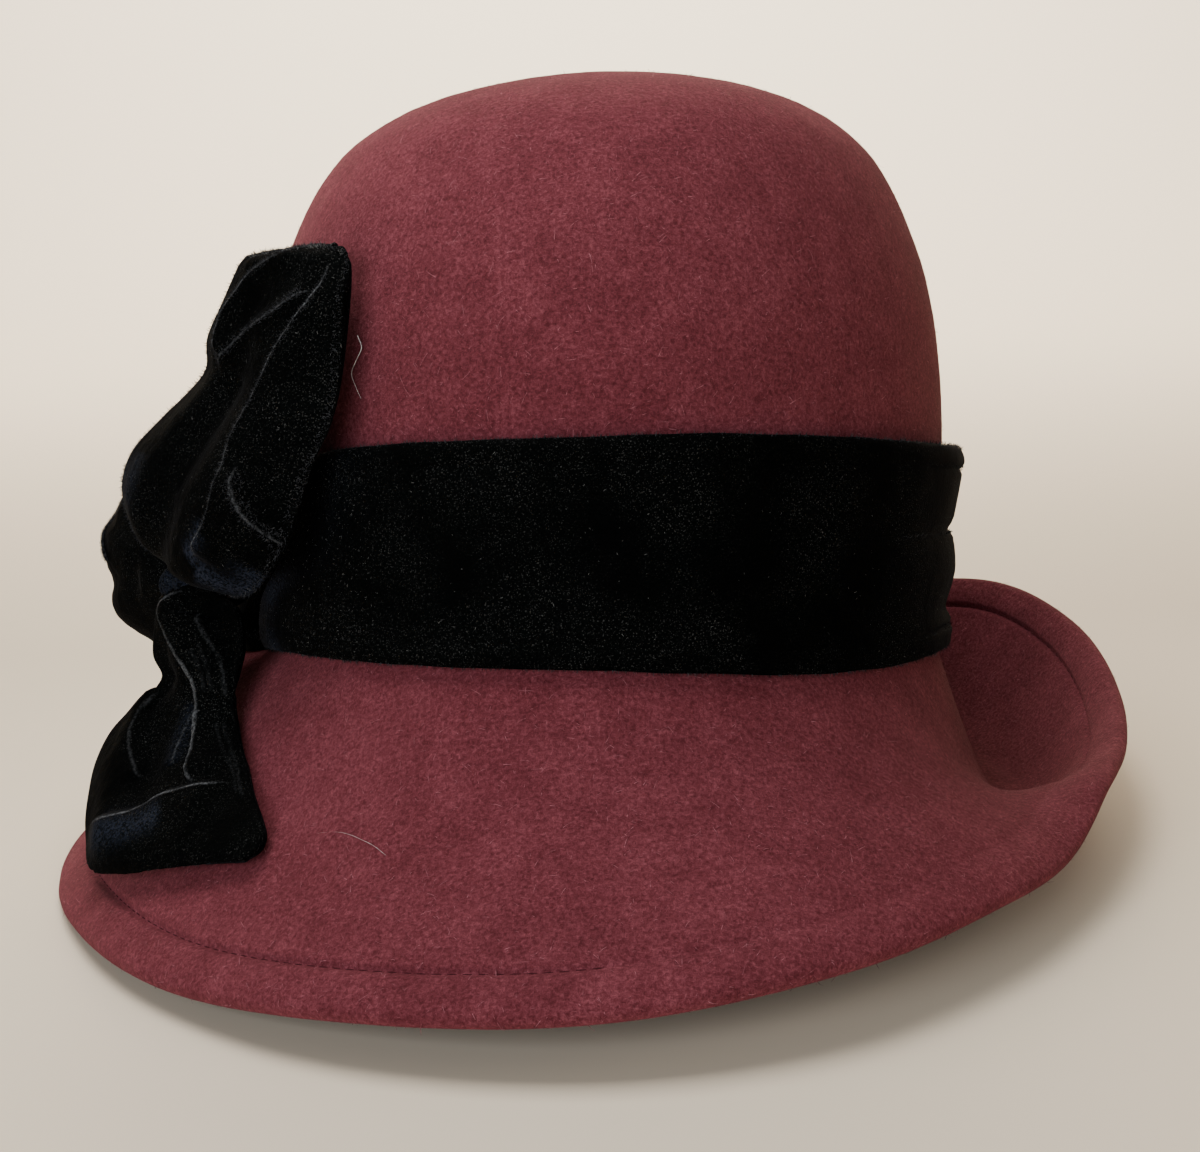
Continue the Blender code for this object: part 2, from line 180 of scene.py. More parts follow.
def smooth_step(low, high, value):
    """Rises from 0 at low to 1 at high."""
    t = min(max((value - low) / (high - low), 0.0), 1.0)
    return t * t * (3 - 2 * t)


def hump(distance, width):
    """1 in the middle of a ridge or groove, fading to 0 on both sides."""
    return exp(-(distance / width)**2)


def oval_radius(azimuth, half_width):
    """Distance from the axis to the crown's oval at an azimuth."""
    across = sin(azimuth) / half_width
    along = cos(azimuth) / (half_width * DEPTH_RATIO)
    return 1.0 / sqrt(across**2 + along**2)


def hat_point(azimuth, radius, height, middle_x=0.0):
    """A point of the upright hat."""
    return Vector((middle_x - radius * sin(azimuth), -radius * cos(azimuth), height))


def crown_radius(azimuth, height):
    """Outside of the crown at a height, anywhere below its shoulder."""
    rows = [(row.height, row.half_width) for row in CROWN[:10]]
    return oval_radius(azimuth, between(rows, height)[0])


def brim_curve(azimuth):
    """The four control points of the brim's section at an azimuth, as radius and height."""
    reach, height, leave, leave_pull, arrive, arrive_pull = between(RIM, azimuth * 180 / pi, 360)
    start = oval_radius(azimuth, CROWN[0].half_width)
    leave, arrive = radians(leave), radians(arrive)
    half_hem = 0.5 * HEM_WALL
    end = (reach - half_hem * (cos(arrive) + sin(arrive)), height + half_hem * (cos(arrive) - sin(arrive)))
    return [Vector((start, 0.0)),
            Vector((start + leave_pull * cos(leave), leave_pull * sin(leave))),
            Vector((end[0] - arrive_pull * cos(arrive), end[1] - arrive_pull * sin(arrive))),
            Vector(end)]


def curve_point(controls, t):
    """A point of a cubic curve."""
    a, b, c, d = controls
    return (1 - t)**3 * a + 3 * t * (1 - t)**2 * b + 3 * t**2 * (1 - t) * c + t**3 * d


def brim_line(azimuth, stations):
    """Points of the brim's upper side, each with its distance from the rim.

    A station is a share of the way from the crown to the hem's zone, or else a distance from the rim.
    """
    controls = brim_curve(azimuth)
    points = [curve_point(controls, k / CURVE_STEPS) for k in range(CURVE_STEPS + 1)]
    lengths = [0.0]
    for a, b in zip(points, points[1:]):
        lengths.append(lengths[-1] + (b - a).length)
    total = lengths[-1]
    line = []
    for share, metres in stations:
        length = min(max(total - metres if share is None else share * (total - HEM_ZONE), 0.0), total)
        span = min(bisect_right(lengths, length) - 1, CURVE_STEPS - 1)
        t = (span + (length - lengths[span]) / (lengths[span + 1] - lengths[span])) / CURVE_STEPS
        line.append((curve_point(controls, t), total - length))
    return line


GROOVE_RING = 0.0005              # between two rings of the groove
GROOVE_RINGS = 7                  # on each side of the stitched line
HEM_ZONE = HEM_WIDTH + GROOVE_RINGS * GROOVE_RING     # finer rings from here to the rim
HEM_RING = 0.0010                 # between two rings of the hem
HEM_RINGS = 8
FRONT_AZIMUTH = radians(18)       # the middle of the front's narrower hem
ROLL_AZIMUTH = radians(232)       # the brim is rolled up most here
OPEN_AZIMUTH = radians(35)        # the stitched line shows most here
CLOSED_AZIMUTH = radians(318)     # and the felt has closed over it here
FRONT_NARROWER = 0.19
ROLL_NARROWER = 0.34
ROLL_DEEPER = 1.1                 # how much more or less deep the groove is at these places
OPEN_DEEPER = 0.7
CLOSED_SHALLOWER = 0.75
BRIM_STATIONS = [(k / BRIM_RINGS, None) for k in range(1, BRIM_RINGS)]
BRIM_STATIONS += [(None, HEM_ZONE - GROOVE_RING * k) for k in range(2 * GROOVE_RINGS)]
BRIM_STATIONS += [(None, HEM_RING * (HEM_RINGS - k)) for k in range(HEM_RINGS + 1)]


def hem_scale(azimuth):
    """The hem is turned in a little less at the front, and less again on the roll away from the bow."""
    front = abs((azimuth - FRONT_AZIMUTH + pi) % (2 * pi) - pi)
    return 1 - FRONT_NARROWER * hump(front, radians(48)) - ROLL_NARROWER * hump(azimuth - ROLL_AZIMUTH, radians(30))


def groove_depth(azimuth, distance):
    """How deep the stitches pull the felt in at a distance from the rim."""
    depth = GROOVE_DEPTH * hump(distance - HEM_WIDTH, GROOVE_WIDTH)
    return depth * (1 + ROLL_DEEPER * hump(azimuth - ROLL_AZIMUTH, radians(45))
                    + OPEN_DEEPER * hump(azimuth - OPEN_AZIMUTH, radians(45))
                    - CLOSED_SHALLOWER * hump(azimuth - CLOSED_AZIMUTH, radians(32)))


def felt_section(azimuth):
    """The felt at an azimuth, as points of its upper side and its under side from the crown's top to the rim."""
    scale = hem_scale(azimuth)
    stations = [(share, None if metres is None else metres * scale) for share, metres in BRIM_STATIONS]
    places = [CROWN_TOP - k / CROWN_STEPS for k in range(CROWN_TOP * CROWN_STEPS + 1)]
    middle, from_rim = [], []
    for place in places:
        height, half_width, middle_x = between(CROWN, place)
        middle.append(Vector((oval_radius(azimuth, max(half_width, 1e-5)), height, middle_x)))
        from_rim.append(1.0)
    for point, distance in brim_line(azimuth, stations):
        middle.append(Vector((point.x, point.y, 0.0)))
        from_rim.append(distance / scale)
    upper, under = [], []
    for index, point in enumerate(middle):
        before = middle[max(index - 1, 0)]
        after = middle[min(index + 1, len(middle) - 1)]
        along = Vector((after.x - before.x, after.y - before.y)).normalized()
        out = Vector((-along.y, along.x, 0.0))
        if index == 0:
            out = Vector((0.0, 1.0, 0.0))
        distance = from_rim[index]
        wall = FELT + (HEM_WALL - FELT) * (1 - smooth_step(HEM_WIDTH - HEM_FADE, HEM_WIDTH + HEM_FADE, distance))
        groove = groove_depth(azimuth, distance)
        bulge = HEM_BULGE * smooth_step(0.0, 0.004, distance) * (1 - smooth_step(0.006, HEM_WIDTH, distance))
        where = hat_point(azimuth, point.x, point.y, point.z)
        lump = FELT_LUMP * noise.noise(where * 26) + FELT_GRAIN * noise.noise(where * 120)
        upper.append(point + out * (bulge - groove + lump))
        under.append(point - out * (wall + bulge - groove - lump))
    return upper, under


def felt_column(azimuth):
    """The whole ring of felt at an azimuth, over the outside, round the rim and back inside, standing on the table."""
    upper, under = felt_section(azimuth)
    upper = [at_rest(hat_point(azimuth, *point)) for point in upper]
    under = [at_rest(hat_point(azimuth, *point)) for point in under]
    for top, low in zip(upper, under):
        lift = max(0.0, -min(top.z, low.z))
        top.z += lift
        low.z += lift
    middle = 0.5 * (upper[-1] + under[-1])
    outward = (upper[-1] - upper[-3]).normalized() * 0.5 * HEM_WALL
    edge = []
    for k in range(1, RIM_RINGS):
        turn = pi * k / RIM_RINGS
        point = middle + (upper[-1] - middle) * cos(turn) + outward * sin(turn)
        point.z = max(point.z, 0.0)
        edge.append(point)
    return upper + edge + list(reversed(under))


def grid_piece(name, columns, rows, shape, closed=(True, False)):
    """A flat grid of faces bent into a piece: shape gives each vertex its place, and closed edges are joined."""
    mesh = bpy.data.meshes.new(name)
    bent = bmesh.new()
    bmesh.ops.create_grid(bent, x_segments=columns, y_segments=rows, size=0.5)
    run = bent.loops.layers.uv.new("run")
    for face in bent.faces:
        for loop in face.loops:
            loop[run].uv = (loop.vert.co.x + 0.5, loop.vert.co.y + 0.5)
    for vertex in bent.verts:
        column = round((vertex.co.x + 0.5) * columns)
        row = round((vertex.co.y + 0.5) * rows)
        if closed[0] and column == columns:
            column = 0
        if closed[1] and row == rows:
            row = 0
        vertex.co = shape(column, row)
    bmesh.ops.remove_doubles(bent, verts=bent.verts, dist=1e-7)
    bmesh.ops.recalc_face_normals(bent, faces=bent.faces)
    if closed[0] and bent.calc_volume(signed=True) < 0:
        bmesh.ops.reverse_faces(bent, faces=bent.faces)
    bent.to_mesh(mesh)
    bent.free()
    mesh.shade_smooth()
    return add_object(name, mesh)


felt_columns = [felt_column(2 * pi * step / FELT_COLUMNS) for step in range(FELT_COLUMNS)]
felt_hat = grid_piece("felt_hat", FELT_COLUMNS, len(felt_columns[0]) - 1,
                      lambda column, row: felt_columns[column][row])


class Shade:
    """A value on a material's surface. Arithmetic on it adds Math nodes, and `node` adds any other."""

    def __init__(self, tree, socket=None):
        self.tree = tree
        self.socket = socket

    def node(self, kind, settings=(), values=(), output=0):
        """Adds a node, with its settings first and then its sockets' values or links."""
        made = self.tree.nodes.new(kind)
        for name, setting in dict(settings).items():
            if name == "stops":
                ramp = made.color_ramp
                while len(ramp.elements) < len(setting):
                    ramp.elements.new(1.0)
                for stop, (position, color) in zip(ramp.elements, setting):
                    stop.position = position
                    stop.color = color
            else:
                setattr(made, name, setting)
        for name, value in dict(values).items():
            self.feed(made.inputs[name], value)
        return Shade(self.tree, made.outputs[output])

    def feed(self, socket, value):
        """Links a value to a socket, or sets the socket to a plain value."""
        if isinstance(value, Shade):
            self.tree.links.new(value.socket, socket)
        else:
            socket.default_value = value

    def math(self, operation, first, second=0.0):
        return self.node("ShaderNodeMath", {"operation": operation}, {0: first, 1: second})

    def __add__(self, other):
        return self.math("ADD", self, other)

    def __sub__(self, other):
        return self.math("SUBTRACT", self, other)

    def __rsub__(self, other):
        return self.math("SUBTRACT", other, self)

    def __mul__(self, other):
        return self.math("MULTIPLY", self, other)

    def clear(self, low, high):
        """0 below low, 1 above high."""
        return self.node("ShaderNodeMapRange", {"interpolation_type": "SMOOTHSTEP"}, {0: self, 1: low, 2: high})

    def mix(self, first, second):
        """Goes from the first colour to the second as this value goes from 0 to 1."""
        return self.node("ShaderNodeMix", {"data_type": "RGBA"}, {0: self, 6: first, 7: second}, output=2)

    def scaled(self, scale, turn):
        """These coordinates stretched and turned."""
        return self.node("ShaderNodeMapping", (), {"Vector": self, "Scale": scale, "Rotation": turn})

    def noise(self, scale, detail=2.0, roughness=0.5, distortion=0.0):
        """A cloudy pattern over these coordinates, with about this many clouds in a metre."""
        return self.node("ShaderNodeTexNoise", (), {"Vector": self, "Scale": scale, "Detail": detail,
                                                    "Roughness": roughness, "Distortion": distortion})


    def place(self):
        """Where a point of the surface is on its piece, in metres."""
        return self.node("ShaderNodeTexCoord", output=3)

    def mark(self, name):
        """A number that the piece gives each of its vertices."""
        return self.node("ShaderNodeAttribute", {"attribute_name": name}, output=2)


def new_finish(name, values):
    """A material, its shader with plain values for some sockets, and a start for its nodes."""
    material = bpy.data.materials.new(name)
    material.use_nodes = True
    shader = material.node_tree.nodes["Principled BSDF"]
    for socket, value in values.items():
        shader.inputs[socket].default_value = value
    return material, shader, Shade(material.node_tree)


FELT_DARK = (0.060, 0.0085, 0.0120, 1)
FELT_MIDDLE = (0.110, 0.0205, 0.0282, 1)
FELT_LIGHT = (0.200, 0.0500, 0.0635, 1)
FELT_SHEEN_TINT = (0.80, 0.20, 0.24, 1)


def felt_finish(name):
    """Matted wool: short fibres lying every way, light tips over a darker ground, and faint worn clouds."""
    material, shader, start = new_finish(name, {
        "Roughness": 0.95, "Specular IOR Level": 0.15,
        "Sheen Weight": 0.12, "Sheen Roughness": 0.5, "Sheen Tint": FELT_SHEEN_TINT})
    place = start.place()
    clouds = place.noise(22.0, 3.0, 0.6)      # the first number is about how many there are in a metre
    patches = place.noise(95.0, 3.0, 0.6)
    ground = place.noise(1050.0, 4.0, 0.62, 0.6)
    fibres = place.scaled((620, 2600, 1500), (0.3, 0.2, 0.5)).noise(1.0, 3.0, 0.6, 1.6)
    crossing = place.scaled((2500, 660, 1300), (0.1, 0.7, 1.9)).noise(1.0, 3.0, 0.6, 1.6)
    hairs = start.math("MAXIMUM", fibres, crossing)
    nap = ground * 0.55 + hairs * 0.45
    lift = (clouds - 0.5) * 0.15 + (patches - 0.5) * 0.18
    tone = nap + lift
    color = tone.clear(0.38, 0.56).mix(FELT_DARK, FELT_MIDDLE)
    color = tone.clear(0.51, 0.72).mix(color, FELT_LIGHT)
    start.feed(shader.inputs["Base Color"], color)
    height = nap + patches * 0.4
    bump = start.node("ShaderNodeBump", (), {"Strength": 0.8, "Distance": 0.0007, "Height": height})
    start.feed(shader.inputs["Normal"], bump)
    return material


felt_hat.data.materials.append(felt_finish("matted_wool"))
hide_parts("felt_body")
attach(felt_hat, "root")


# The hem's stitching: one row of lockstitch in burgundy thread, 11.5 mm in from the rim all the way round. It pulls
# the turned felt tight, so each stitch lies sunk in its groove, on the upper side and on the under side.
STITCH_LENGTH = 0.0024
STITCH_GAP = 0.0007
THREAD_RADIUS = 0.00023
THREAD_SUNK = 0.00006
THREAD_HIDDEN = 0.00040    # sunk this much more where the felt has closed over it
THREAD_DARK = (0.028, 0.004, 0.006, 1)
THREAD_LIGHT = (0.050, 0.0075, 0.0115, 1)


def hem_line(azimuth):
    """Where the stitched line is at an azimuth, on the upper and on the under side."""
    column = azimuth / (2 * pi) * FELT_COLUMNS
    low = int(column) % FELT_COLUMNS
    part = column - int(column)
    upper = hem_rings[0][low].lerp(hem_rings[0][(low + 1) % FELT_COLUMNS], part)
    under = hem_rings[1][low].lerp(hem_rings[1][(low + 1) % FELT_COLUMNS], part)
    return upper, under


hem_upper_row = CROWN_TOP * CROWN_STEPS + 1 + (BRIM_RINGS - 1) + GROOVE_RINGS
hem_under_row = len(felt_columns[0]) - 1 - hem_upper_row
hem_rings = [[column[row] for column in felt_columns] for row in (hem_upper_row, hem_under_row)]
stitches = bmesh.new()
round_hem = sum((b - a).length for a, b in zip(hem_rings[0], hem_rings[0][1:] + hem_rings[0][:1]))
stitch_count = int(round_hem / (STITCH_LENGTH + STITCH_GAP))
for number in range(stitch_count):
    first = hem_line(2 * pi * number / stitch_count)
    second = hem_line(2 * pi * (number + STITCH_LENGTH / (STITCH_LENGTH + STITCH_GAP)) / stitch_count)
    for start_point, end_point, other in ((first[0], second[0], first[1]), (first[1], second[1], first[0])):
        outward = (start_point - other).normalized()
        along = end_point - start_point
        sideways = outward.cross(along).normalized()
        closed = hump(2 * pi * number / stitch_count - CLOSED_AZIMUTH, radians(45))
        middle = 0.5 * (start_point + end_point) - outward * (THREAD_SUNK + THREAD_HIDDEN * closed)
        place = Matrix.Translation(middle) @ Matrix((along.normalized(), sideways, outward)).transposed().to_4x4()
        shape = Matrix.Diagonal((0.5 * along.length, THREAD_RADIUS, THREAD_RADIUS, 1))
        bmesh.ops.create_uvsphere(stitches, u_segments=6, v_segments=4, radius=1.0,
                                  matrix=place @ shape @ Matrix.Rotation(pi / 2, 4, "Y"))
stitch_mesh = bpy.data.meshes.new("hem_stitches")
stitches.to_mesh(stitch_mesh)
stitches.free()
stitch_mesh.shade_smooth()
hem_stitches = add_object("hem_stitches", stitch_mesh)
thread, thread_shader, thread_start = new_finish("burgundy_thread", {"Roughness": 0.9, "Specular IOR Level": 0.1})
twist = thread_start.place().noise(2600.0, 2.0)
thread_start.feed(thread_shader.inputs["Base Color"], twist.mix(THREAD_DARK, THREAD_LIGHT))
hem_stitches.data.materials.append(thread)
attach(hem_stitches, "root")


# The velvet band: a strip of black velvet, its long edges turned under, drawn tight round the foot of the crown. Its
# end is folded back on a slant beside the bow, and under it the strip goes on to where the bow is sewn on.
SEAT = 0.00035                    # the gap between pieces that are sewn together
BAND_COLUMNS = 420
BAND_RADIUS = 0.094               # the crown's usual radius under the band
BAND_HEIGHT = 0.052
# The folded end: its azimuth in degrees by height.
FOLD_LINE = [(0.0, 66.0), (0.0025, 67.3), (0.0070, 70.5), (0.0126, 67.3), (0.0185, 59.2), (0.0239, 54.3),
             (0.0311, 50.9), (0.0379, 48.6), (0.0440, 48.0), (0.0530, 46.5)]
FOLD_MIDDLE = radians(57.0)
# How far the band's upper and lower edge lie below their usual heights, by azimuth in degrees.
BAND_EDGES = [(0, 0.0014, 0.0010), (15, 0.0020, 0.0008), (25, 0.0023, 0.0006), (33, 0.0029, 0.0005),
              (41, 0.0038, 0.0003), (47, 0.0058, 0.0001), (53, 0.0030, 0.0), (66, 0.0, 0.0002),
              (82, 0.0, 0.0020), (100, 0.0, 0.0010), (120, 0.0, 0.0), (270, 0.0, 0.0),
              (285, 0.0008, 0.0), (300, 0.0010, 0.0009), (314, 0.0009, 0.0022), (322, 0.0008, 0.0027),
              (333, 0.0006, 0.0028), (343, 0.0005, 0.0021), (353, 0.0009, 0.0016)]
BULK_AZIMUTH = radians(84.0)      # the gathered bow is sewn on over the band here, and lifts it
BULK = 1.2                        # by this many thicknesses of the band
SLACK_AZIMUTH = radians(275)      # the band has slack folds here
BAND_FOLD_SOFT = radians(34.0)    # how far round the columns follow the slanted fold
FOLD_CROWDING = 0.62              # how much closer the columns are there
FOLD_ROUND = 0.0030
FOLD_SWELL = 0.16                 # the folded end is thicker by this share of the band
FOLD_VALLEY = 0.0125              # width of the sunk part behind the fold
VALLEY_LEFT = 0.25                # the share of the band's thickness that is left there
FOOT_FLARE = 0.47                 # how fast the felt widens below the crown's foot
LOOSE_DEPTH = 0.00045             # how far the drawn strip lies unevenly
PILE_DEPTH = 0.00016
EDGE_WAVE = 0.0003
BAND_THINNEST = 0.0004
PAINTED_SHEEN_FOOT = 1.7                # how strongly a bluish painted sheen is laid beside the folded end, at its foot and above
PAINTED_SHEEN_EDGE = 0.10
# The band's section from its lower edge up: how far its inside and its outside lie off the felt, and the outside
# again where the band is slack.
BandRow = namedtuple("BandRow", "place height inner outer slack")
BAND = [BandRow(place, *row) for place, row in enumerate([
    (0.0004, 0.0012, 0.0012, 0.0012),
    (0.0002, SEAT, 0.0026, 0.0026),
    (0.0008, SEAT, 0.0037, 0.0036),
    (0.0026, SEAT, 0.0042, 0.0038),
    (0.0046, SEAT, 0.0041, 0.0040),
    (0.0058, SEAT, 0.0038, 0.0030),
    (0.0072, SEAT, 0.0039, 0.0036),
    (0.0105, SEAT, 0.0038, 0.0022),
    (0.0160, SEAT, 0.0040, 0.0036),
    (0.0210, SEAT, 0.0042, 0.0044),
    (0.0285, SEAT, 0.0041, 0.0036),
    (0.0305, SEAT, 0.0039, 0.0020),
    (0.0340, SEAT, 0.0040, 0.0036),
    (0.0430, SEAT, 0.0043, 0.0048),
    (0.0452, SEAT, 0.0043, 0.0050),
    (0.0464, SEAT, 0.0041, 0.0044),
    (0.0478, SEAT, 0.0045, 0.0056),
    (0.0500, SEAT, 0.0046, 0.0056),
    (0.0516, SEAT, 0.0041, 0.0048),
    (0.0522, SEAT, 0.0029, 0.0034),
    (0.0519, 0.0014, 0.0014, 0.0014),
])]
BAND_STEPS = 3                    # rings between two rows of the band's table
BAND_TOP = BAND[-1].place
BAND_OUTER_RINGS = BAND_TOP * BAND_STEPS
BAND_INNER_RINGS = 12


def fold_azimuth(height):
    """Where the band's folded end is at a height."""
    return radians(between(FOLD_LINE, min(max(height, 0.0), FOLD_LINE[-1][0]))[0])


def band_azimuth(column, height):
    """Where a column of the band is at a height: near the fold the columns are closer and follow its slant."""
    turn = 2 * pi * column / BAND_COLUMNS
    turn -= FOLD_CROWDING * sin(turn)
    away = min(turn, 2 * pi - turn)
    return FOLD_MIDDLE + turn + (fold_azimuth(height) - FOLD_MIDDLE) * hump(away, BAND_FOLD_SOFT)


def band_cover(azimuth, height):
    """How much of the band's thickness is there: 1 nearly everywhere, and little behind the folded end."""
    past = (azimuth - fold_azimuth(height)) * BAND_RADIUS
    if past < -FOLD_ROUND:
        return 1.0 + FOLD_SWELL * hump(past + FOLD_ROUND, 0.004)
    if past < 0:
        turn = 1 + past / FOLD_ROUND
        return VALLEY_LEFT + (1 + FOLD_SWELL - VALLEY_LEFT) * sqrt(max(1 - turn**2, 0.0))
    bulk = BULK * hump(azimuth - BULK_AZIMUTH, radians(11)) * (1 - smooth_step(0.018, 0.030, height))
    return VALLEY_LEFT + (1 - VALLEY_LEFT + bulk) * smooth_step(0.35 * FOLD_VALLEY, FOLD_VALLEY, past)


def band_point(column, ring):
    """A point of the band's closed section, up its outside and down its inside."""
    outside = ring <= BAND_OUTER_RINGS
    place = ring / BAND_STEPS if outside else BAND_TOP * (1 - (ring - BAND_OUTER_RINGS) / BAND_INNER_RINGS)
    height, inner, outer, slack = between(BAND, place)
    azimuth = band_azimuth(column, height)
    offset = inner
    if outside:
        offset = outer + (slack - outer) * hump(azimuth - SLACK_AZIMUTH, radians(40))
        where = hat_point(azimuth, 0.09, height)
        loose = noise.noise(Vector((azimuth * 5.0, height * 55, 3.0)))
        offset += LOOSE_DEPTH * loose * smooth_step(0, 0.006, min(height, BAND_HEIGHT - height))
        offset += PILE_DEPTH * noise.noise(where * 300)
        offset *= band_cover(azimuth, height)
        offset = max(offset, inner + BAND_THINNEST)
    top, foot = between(BAND_EDGES, azimuth * 180 / pi, 360)
    height -= foot + (top - foot) * smooth_step(0.0, BAND_HEIGHT, height)
    height += EDGE_WAVE * noise.noise(Vector((azimuth * 7.0, 9.0, 0.0)))
    radius = crown_radius(azimuth, height) + max(-height, 0.0) * FOOT_FLARE
    return at_rest(hat_point(azimuth, radius + offset, height))


velvet_band = grid_piece("velvet_band", BAND_COLUMNS, BAND_OUTER_RINGS + BAND_INNER_RINGS, band_point,
                         closed=(True, True))

PILE_BLACK = (0.0003, 0.0004, 0.0004, 1)
PILE_GREY = (0.0018, 0.0020, 0.0021, 1)
# a painted glint of the pile's tips
PILE_PAINTED_GLINT = (0.050, 0.050, 0.048, 1)
# The bluish grey below is a painted sheen, where the pile faces the light.
PILE_PAINTED_SHEEN = (0.020, 0.024, 0.037, 1)
PILE_CREASE_HIGHLIGHT = (0.130, 0.134, 0.142, 1)      # a painted highlight where a crease parts the pile
PILE_SHEEN_TINT = (0.75, 0.80, 1.0, 1)


def velvet_finish(name):
    """Black rayon pile that drinks light seen from above, with light painted into its colour: a grey highlight where a
    fold parts it, glints at its tips, and a bluish sheen where its marks call for it.
    """
    material, shader, start = new_finish(name, {
        "Roughness": 0.85, "Specular IOR Level": 0.02,
        "Sheen Weight": 0.013, "Sheen Roughness": 0.22, "Sheen Tint": PILE_SHEEN_TINT})
    place = start.place()
    crease, apart, brushed = [start.mark(name) for name in ("crease", "apart", "brushed")]
    clouds = place.noise(45.0, 3.0, 0.6)
    grain = place.noise(1500.0, 2.0, 0.6)
    painted_glints = place.noise(3300.0, 1.0, 0.5)
    crushed = place.noise(240.0, 3.0, 0.6)
    pile = ((grain - 0.5) * 1.6 + (clouds - 0.5) * 0.9 + (crushed - 0.5) * 0.6 + 0.35).clear(0.2, 1.1)
    color = pile.mix(PILE_BLACK, PILE_GREY)
    # painted glints: pale specks where the pile's tips would catch the light
    color = (painted_glints.clear(0.62, 0.74) * clouds.clear(0.30, 0.70)).mix(color, PILE_PAINTED_GLINT)
    # painted sheen: bluish grey over the marked places
    color = (brushed * (grain.clear(0.38, 0.62) * 0.85 + 0.15)).mix(color, PILE_PAINTED_SHEEN)
    # painted highlight: grey along each crease's ridge, where the parted pile catches the light
    line = 1 - start.math("ABSOLUTE", apart + (crushed - 0.5) * 0.0005).clear(0.00002, 0.00060)
    line = line * line * (place.noise(130.0, 2.0).clear(0.30, 0.62) * 0.6 + 0.4)
    painted_crease_highlight = crease * line * (grain.clear(0.36, 0.62) * 0.85 + 0.15)
    color = painted_crease_highlight.mix(color, PILE_CREASE_HIGHLIGHT)
    start.feed(shader.inputs["Base Color"], color)
    height = grain * 0.6 + crushed * 0.5
    bump = start.node("ShaderNodeBump", (), {"Strength": 0.6, "Distance": 0.0005, "Height": height})
    start.feed(shader.inputs["Normal"], bump)
    return material


def set_marks(piece, name, value):
    """Gives each vertex of a piece a number for its material to read."""
    layer = piece.data.attributes.new(name, "FLOAT", "POINT")
    for vertex in piece.data.vertices:
        layer.data[vertex.index].value = value(vertex)


def band_painted_sheen(vertex):
    """How strongly a bluish sheen is painted on the band beside its folded end, most of all at its foot."""
    upright = LEAN.inverted() @ (vertex.co - FOOT)
    before_fold = (fold_azimuth(upright.z) - atan2(-upright.x, -upright.y)) * BAND_RADIUS
    low_part = 1 - smooth_step(0.013, 0.024, upright.z)
    foot_part = PAINTED_SHEEN_FOOT * low_part * hump(before_fold - 0.006, 0.008)
    return max(foot_part, PAINTED_SHEEN_EDGE * hump(before_fold - 0.008, 0.013))


black_pile = velvet_finish("black_pile")
velvet_band.data.materials.append(black_pile)
set_marks(velvet_band, "brushed", band_painted_sheen)
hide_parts("hat_band")
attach(velvet_band, "root")


# The bow's loops and tail: strips of the same velvet, folded, gathered at the knot and creased by handling. The
# upper loop stands up beside the crown, the side loop lies back along it, and the tail hangs over the brim.
VELVET = 0.0012
TAIL_VELVET = 0.0022       # the tail is the strip doubled flat
# A strip's rows from the knot outwards: its right and left edge, how far it stands out from the line between them
# at four places across, how far a loop's hidden side lies behind that line, and its share of the tip's rise.
StripRow = namedtuple("StripRow", "place right_x right_y right_z left_x left_y left_z "
                                  "fold_1 fold_2 fold_3 fold_4 back rise", defaults=(0.0, 0.0))
UPPER_LOOP = [StripRow(place, *row) for place, row in enumerate([
    (-0.0991, -0.0500, 0.0197, -0.1086, -0.0430, 0.0221, 0.0010, 0.0020, 0.0020, 0.0010, 0.0020),
    (-0.0917, -0.0610, 0.0152, -0.1143, -0.0410, 0.0270, 0.0045, 0.0050, 0.0030, 0.0025, 0.0032),
    (-0.0843, -0.0710, 0.0144, -0.1181, -0.0395, 0.0312, 0.0070, 0.0075, 0.0040, 0.0040, 0.0036),
    (-0.0790, -0.0780, 0.0179, -0.1205, -0.0385, 0.0375, 0.0080, 0.0085, 0.0045, 0.0050, 0.0040),
    (-0.0737, -0.0840, 0.0245, -0.1206, -0.0380, 0.0438, 0.0085, 0.0090, 0.0045, 0.0055, 0.0044),
    (-0.0699, -0.0870, 0.0336, -0.1177, -0.0385, 0.0505, 0.0085, 0.0090, 0.0045, 0.0055, 0.0048),
    (-0.0664, -0.0885, 0.0437, -0.1104, -0.0405, 0.0579, 0.0080, 0.0085, 0.0040, 0.0050, 0.0052),
    (-0.0618, -0.0895, 0.0546, -0.1025, -0.0440, 0.0647, 0.0070, 0.0080, 0.0040, 0.0045, 0.0058),
    (-0.0599, -0.0885, 0.0646, -0.0980, -0.0470, 0.0699, 0.0065, 0.0070, 0.0040, 0.0040, 0.0064),
    (-0.0586, -0.0875, 0.0744, -0.0972, -0.0495, 0.0770, 0.0060, 0.0065, 0.0040, 0.0040, 0.0060),
    (-0.0578, -0.0865, 0.0831, -0.0932, -0.0525, 0.0848, 0.0055, 0.0060, 0.0040, 0.0035, 0.0054),
    (-0.0575, -0.0855, 0.0889, -0.0897, -0.0555, 0.0912, 0.0045, 0.0050, 0.0035, 0.0030, 0.0044, 0.3),
    (-0.0578, -0.0850, 0.0915, -0.0880, -0.0570, 0.0940, 0.0034, 0.0040, 0.0028, 0.0024, 0.0032, 0.75),
    (-0.0592, -0.0835, 0.0937, -0.0858, -0.0590, 0.0960, 0.0, 0.0, 0.0, 0.0, 0.0, 1.0),
])]
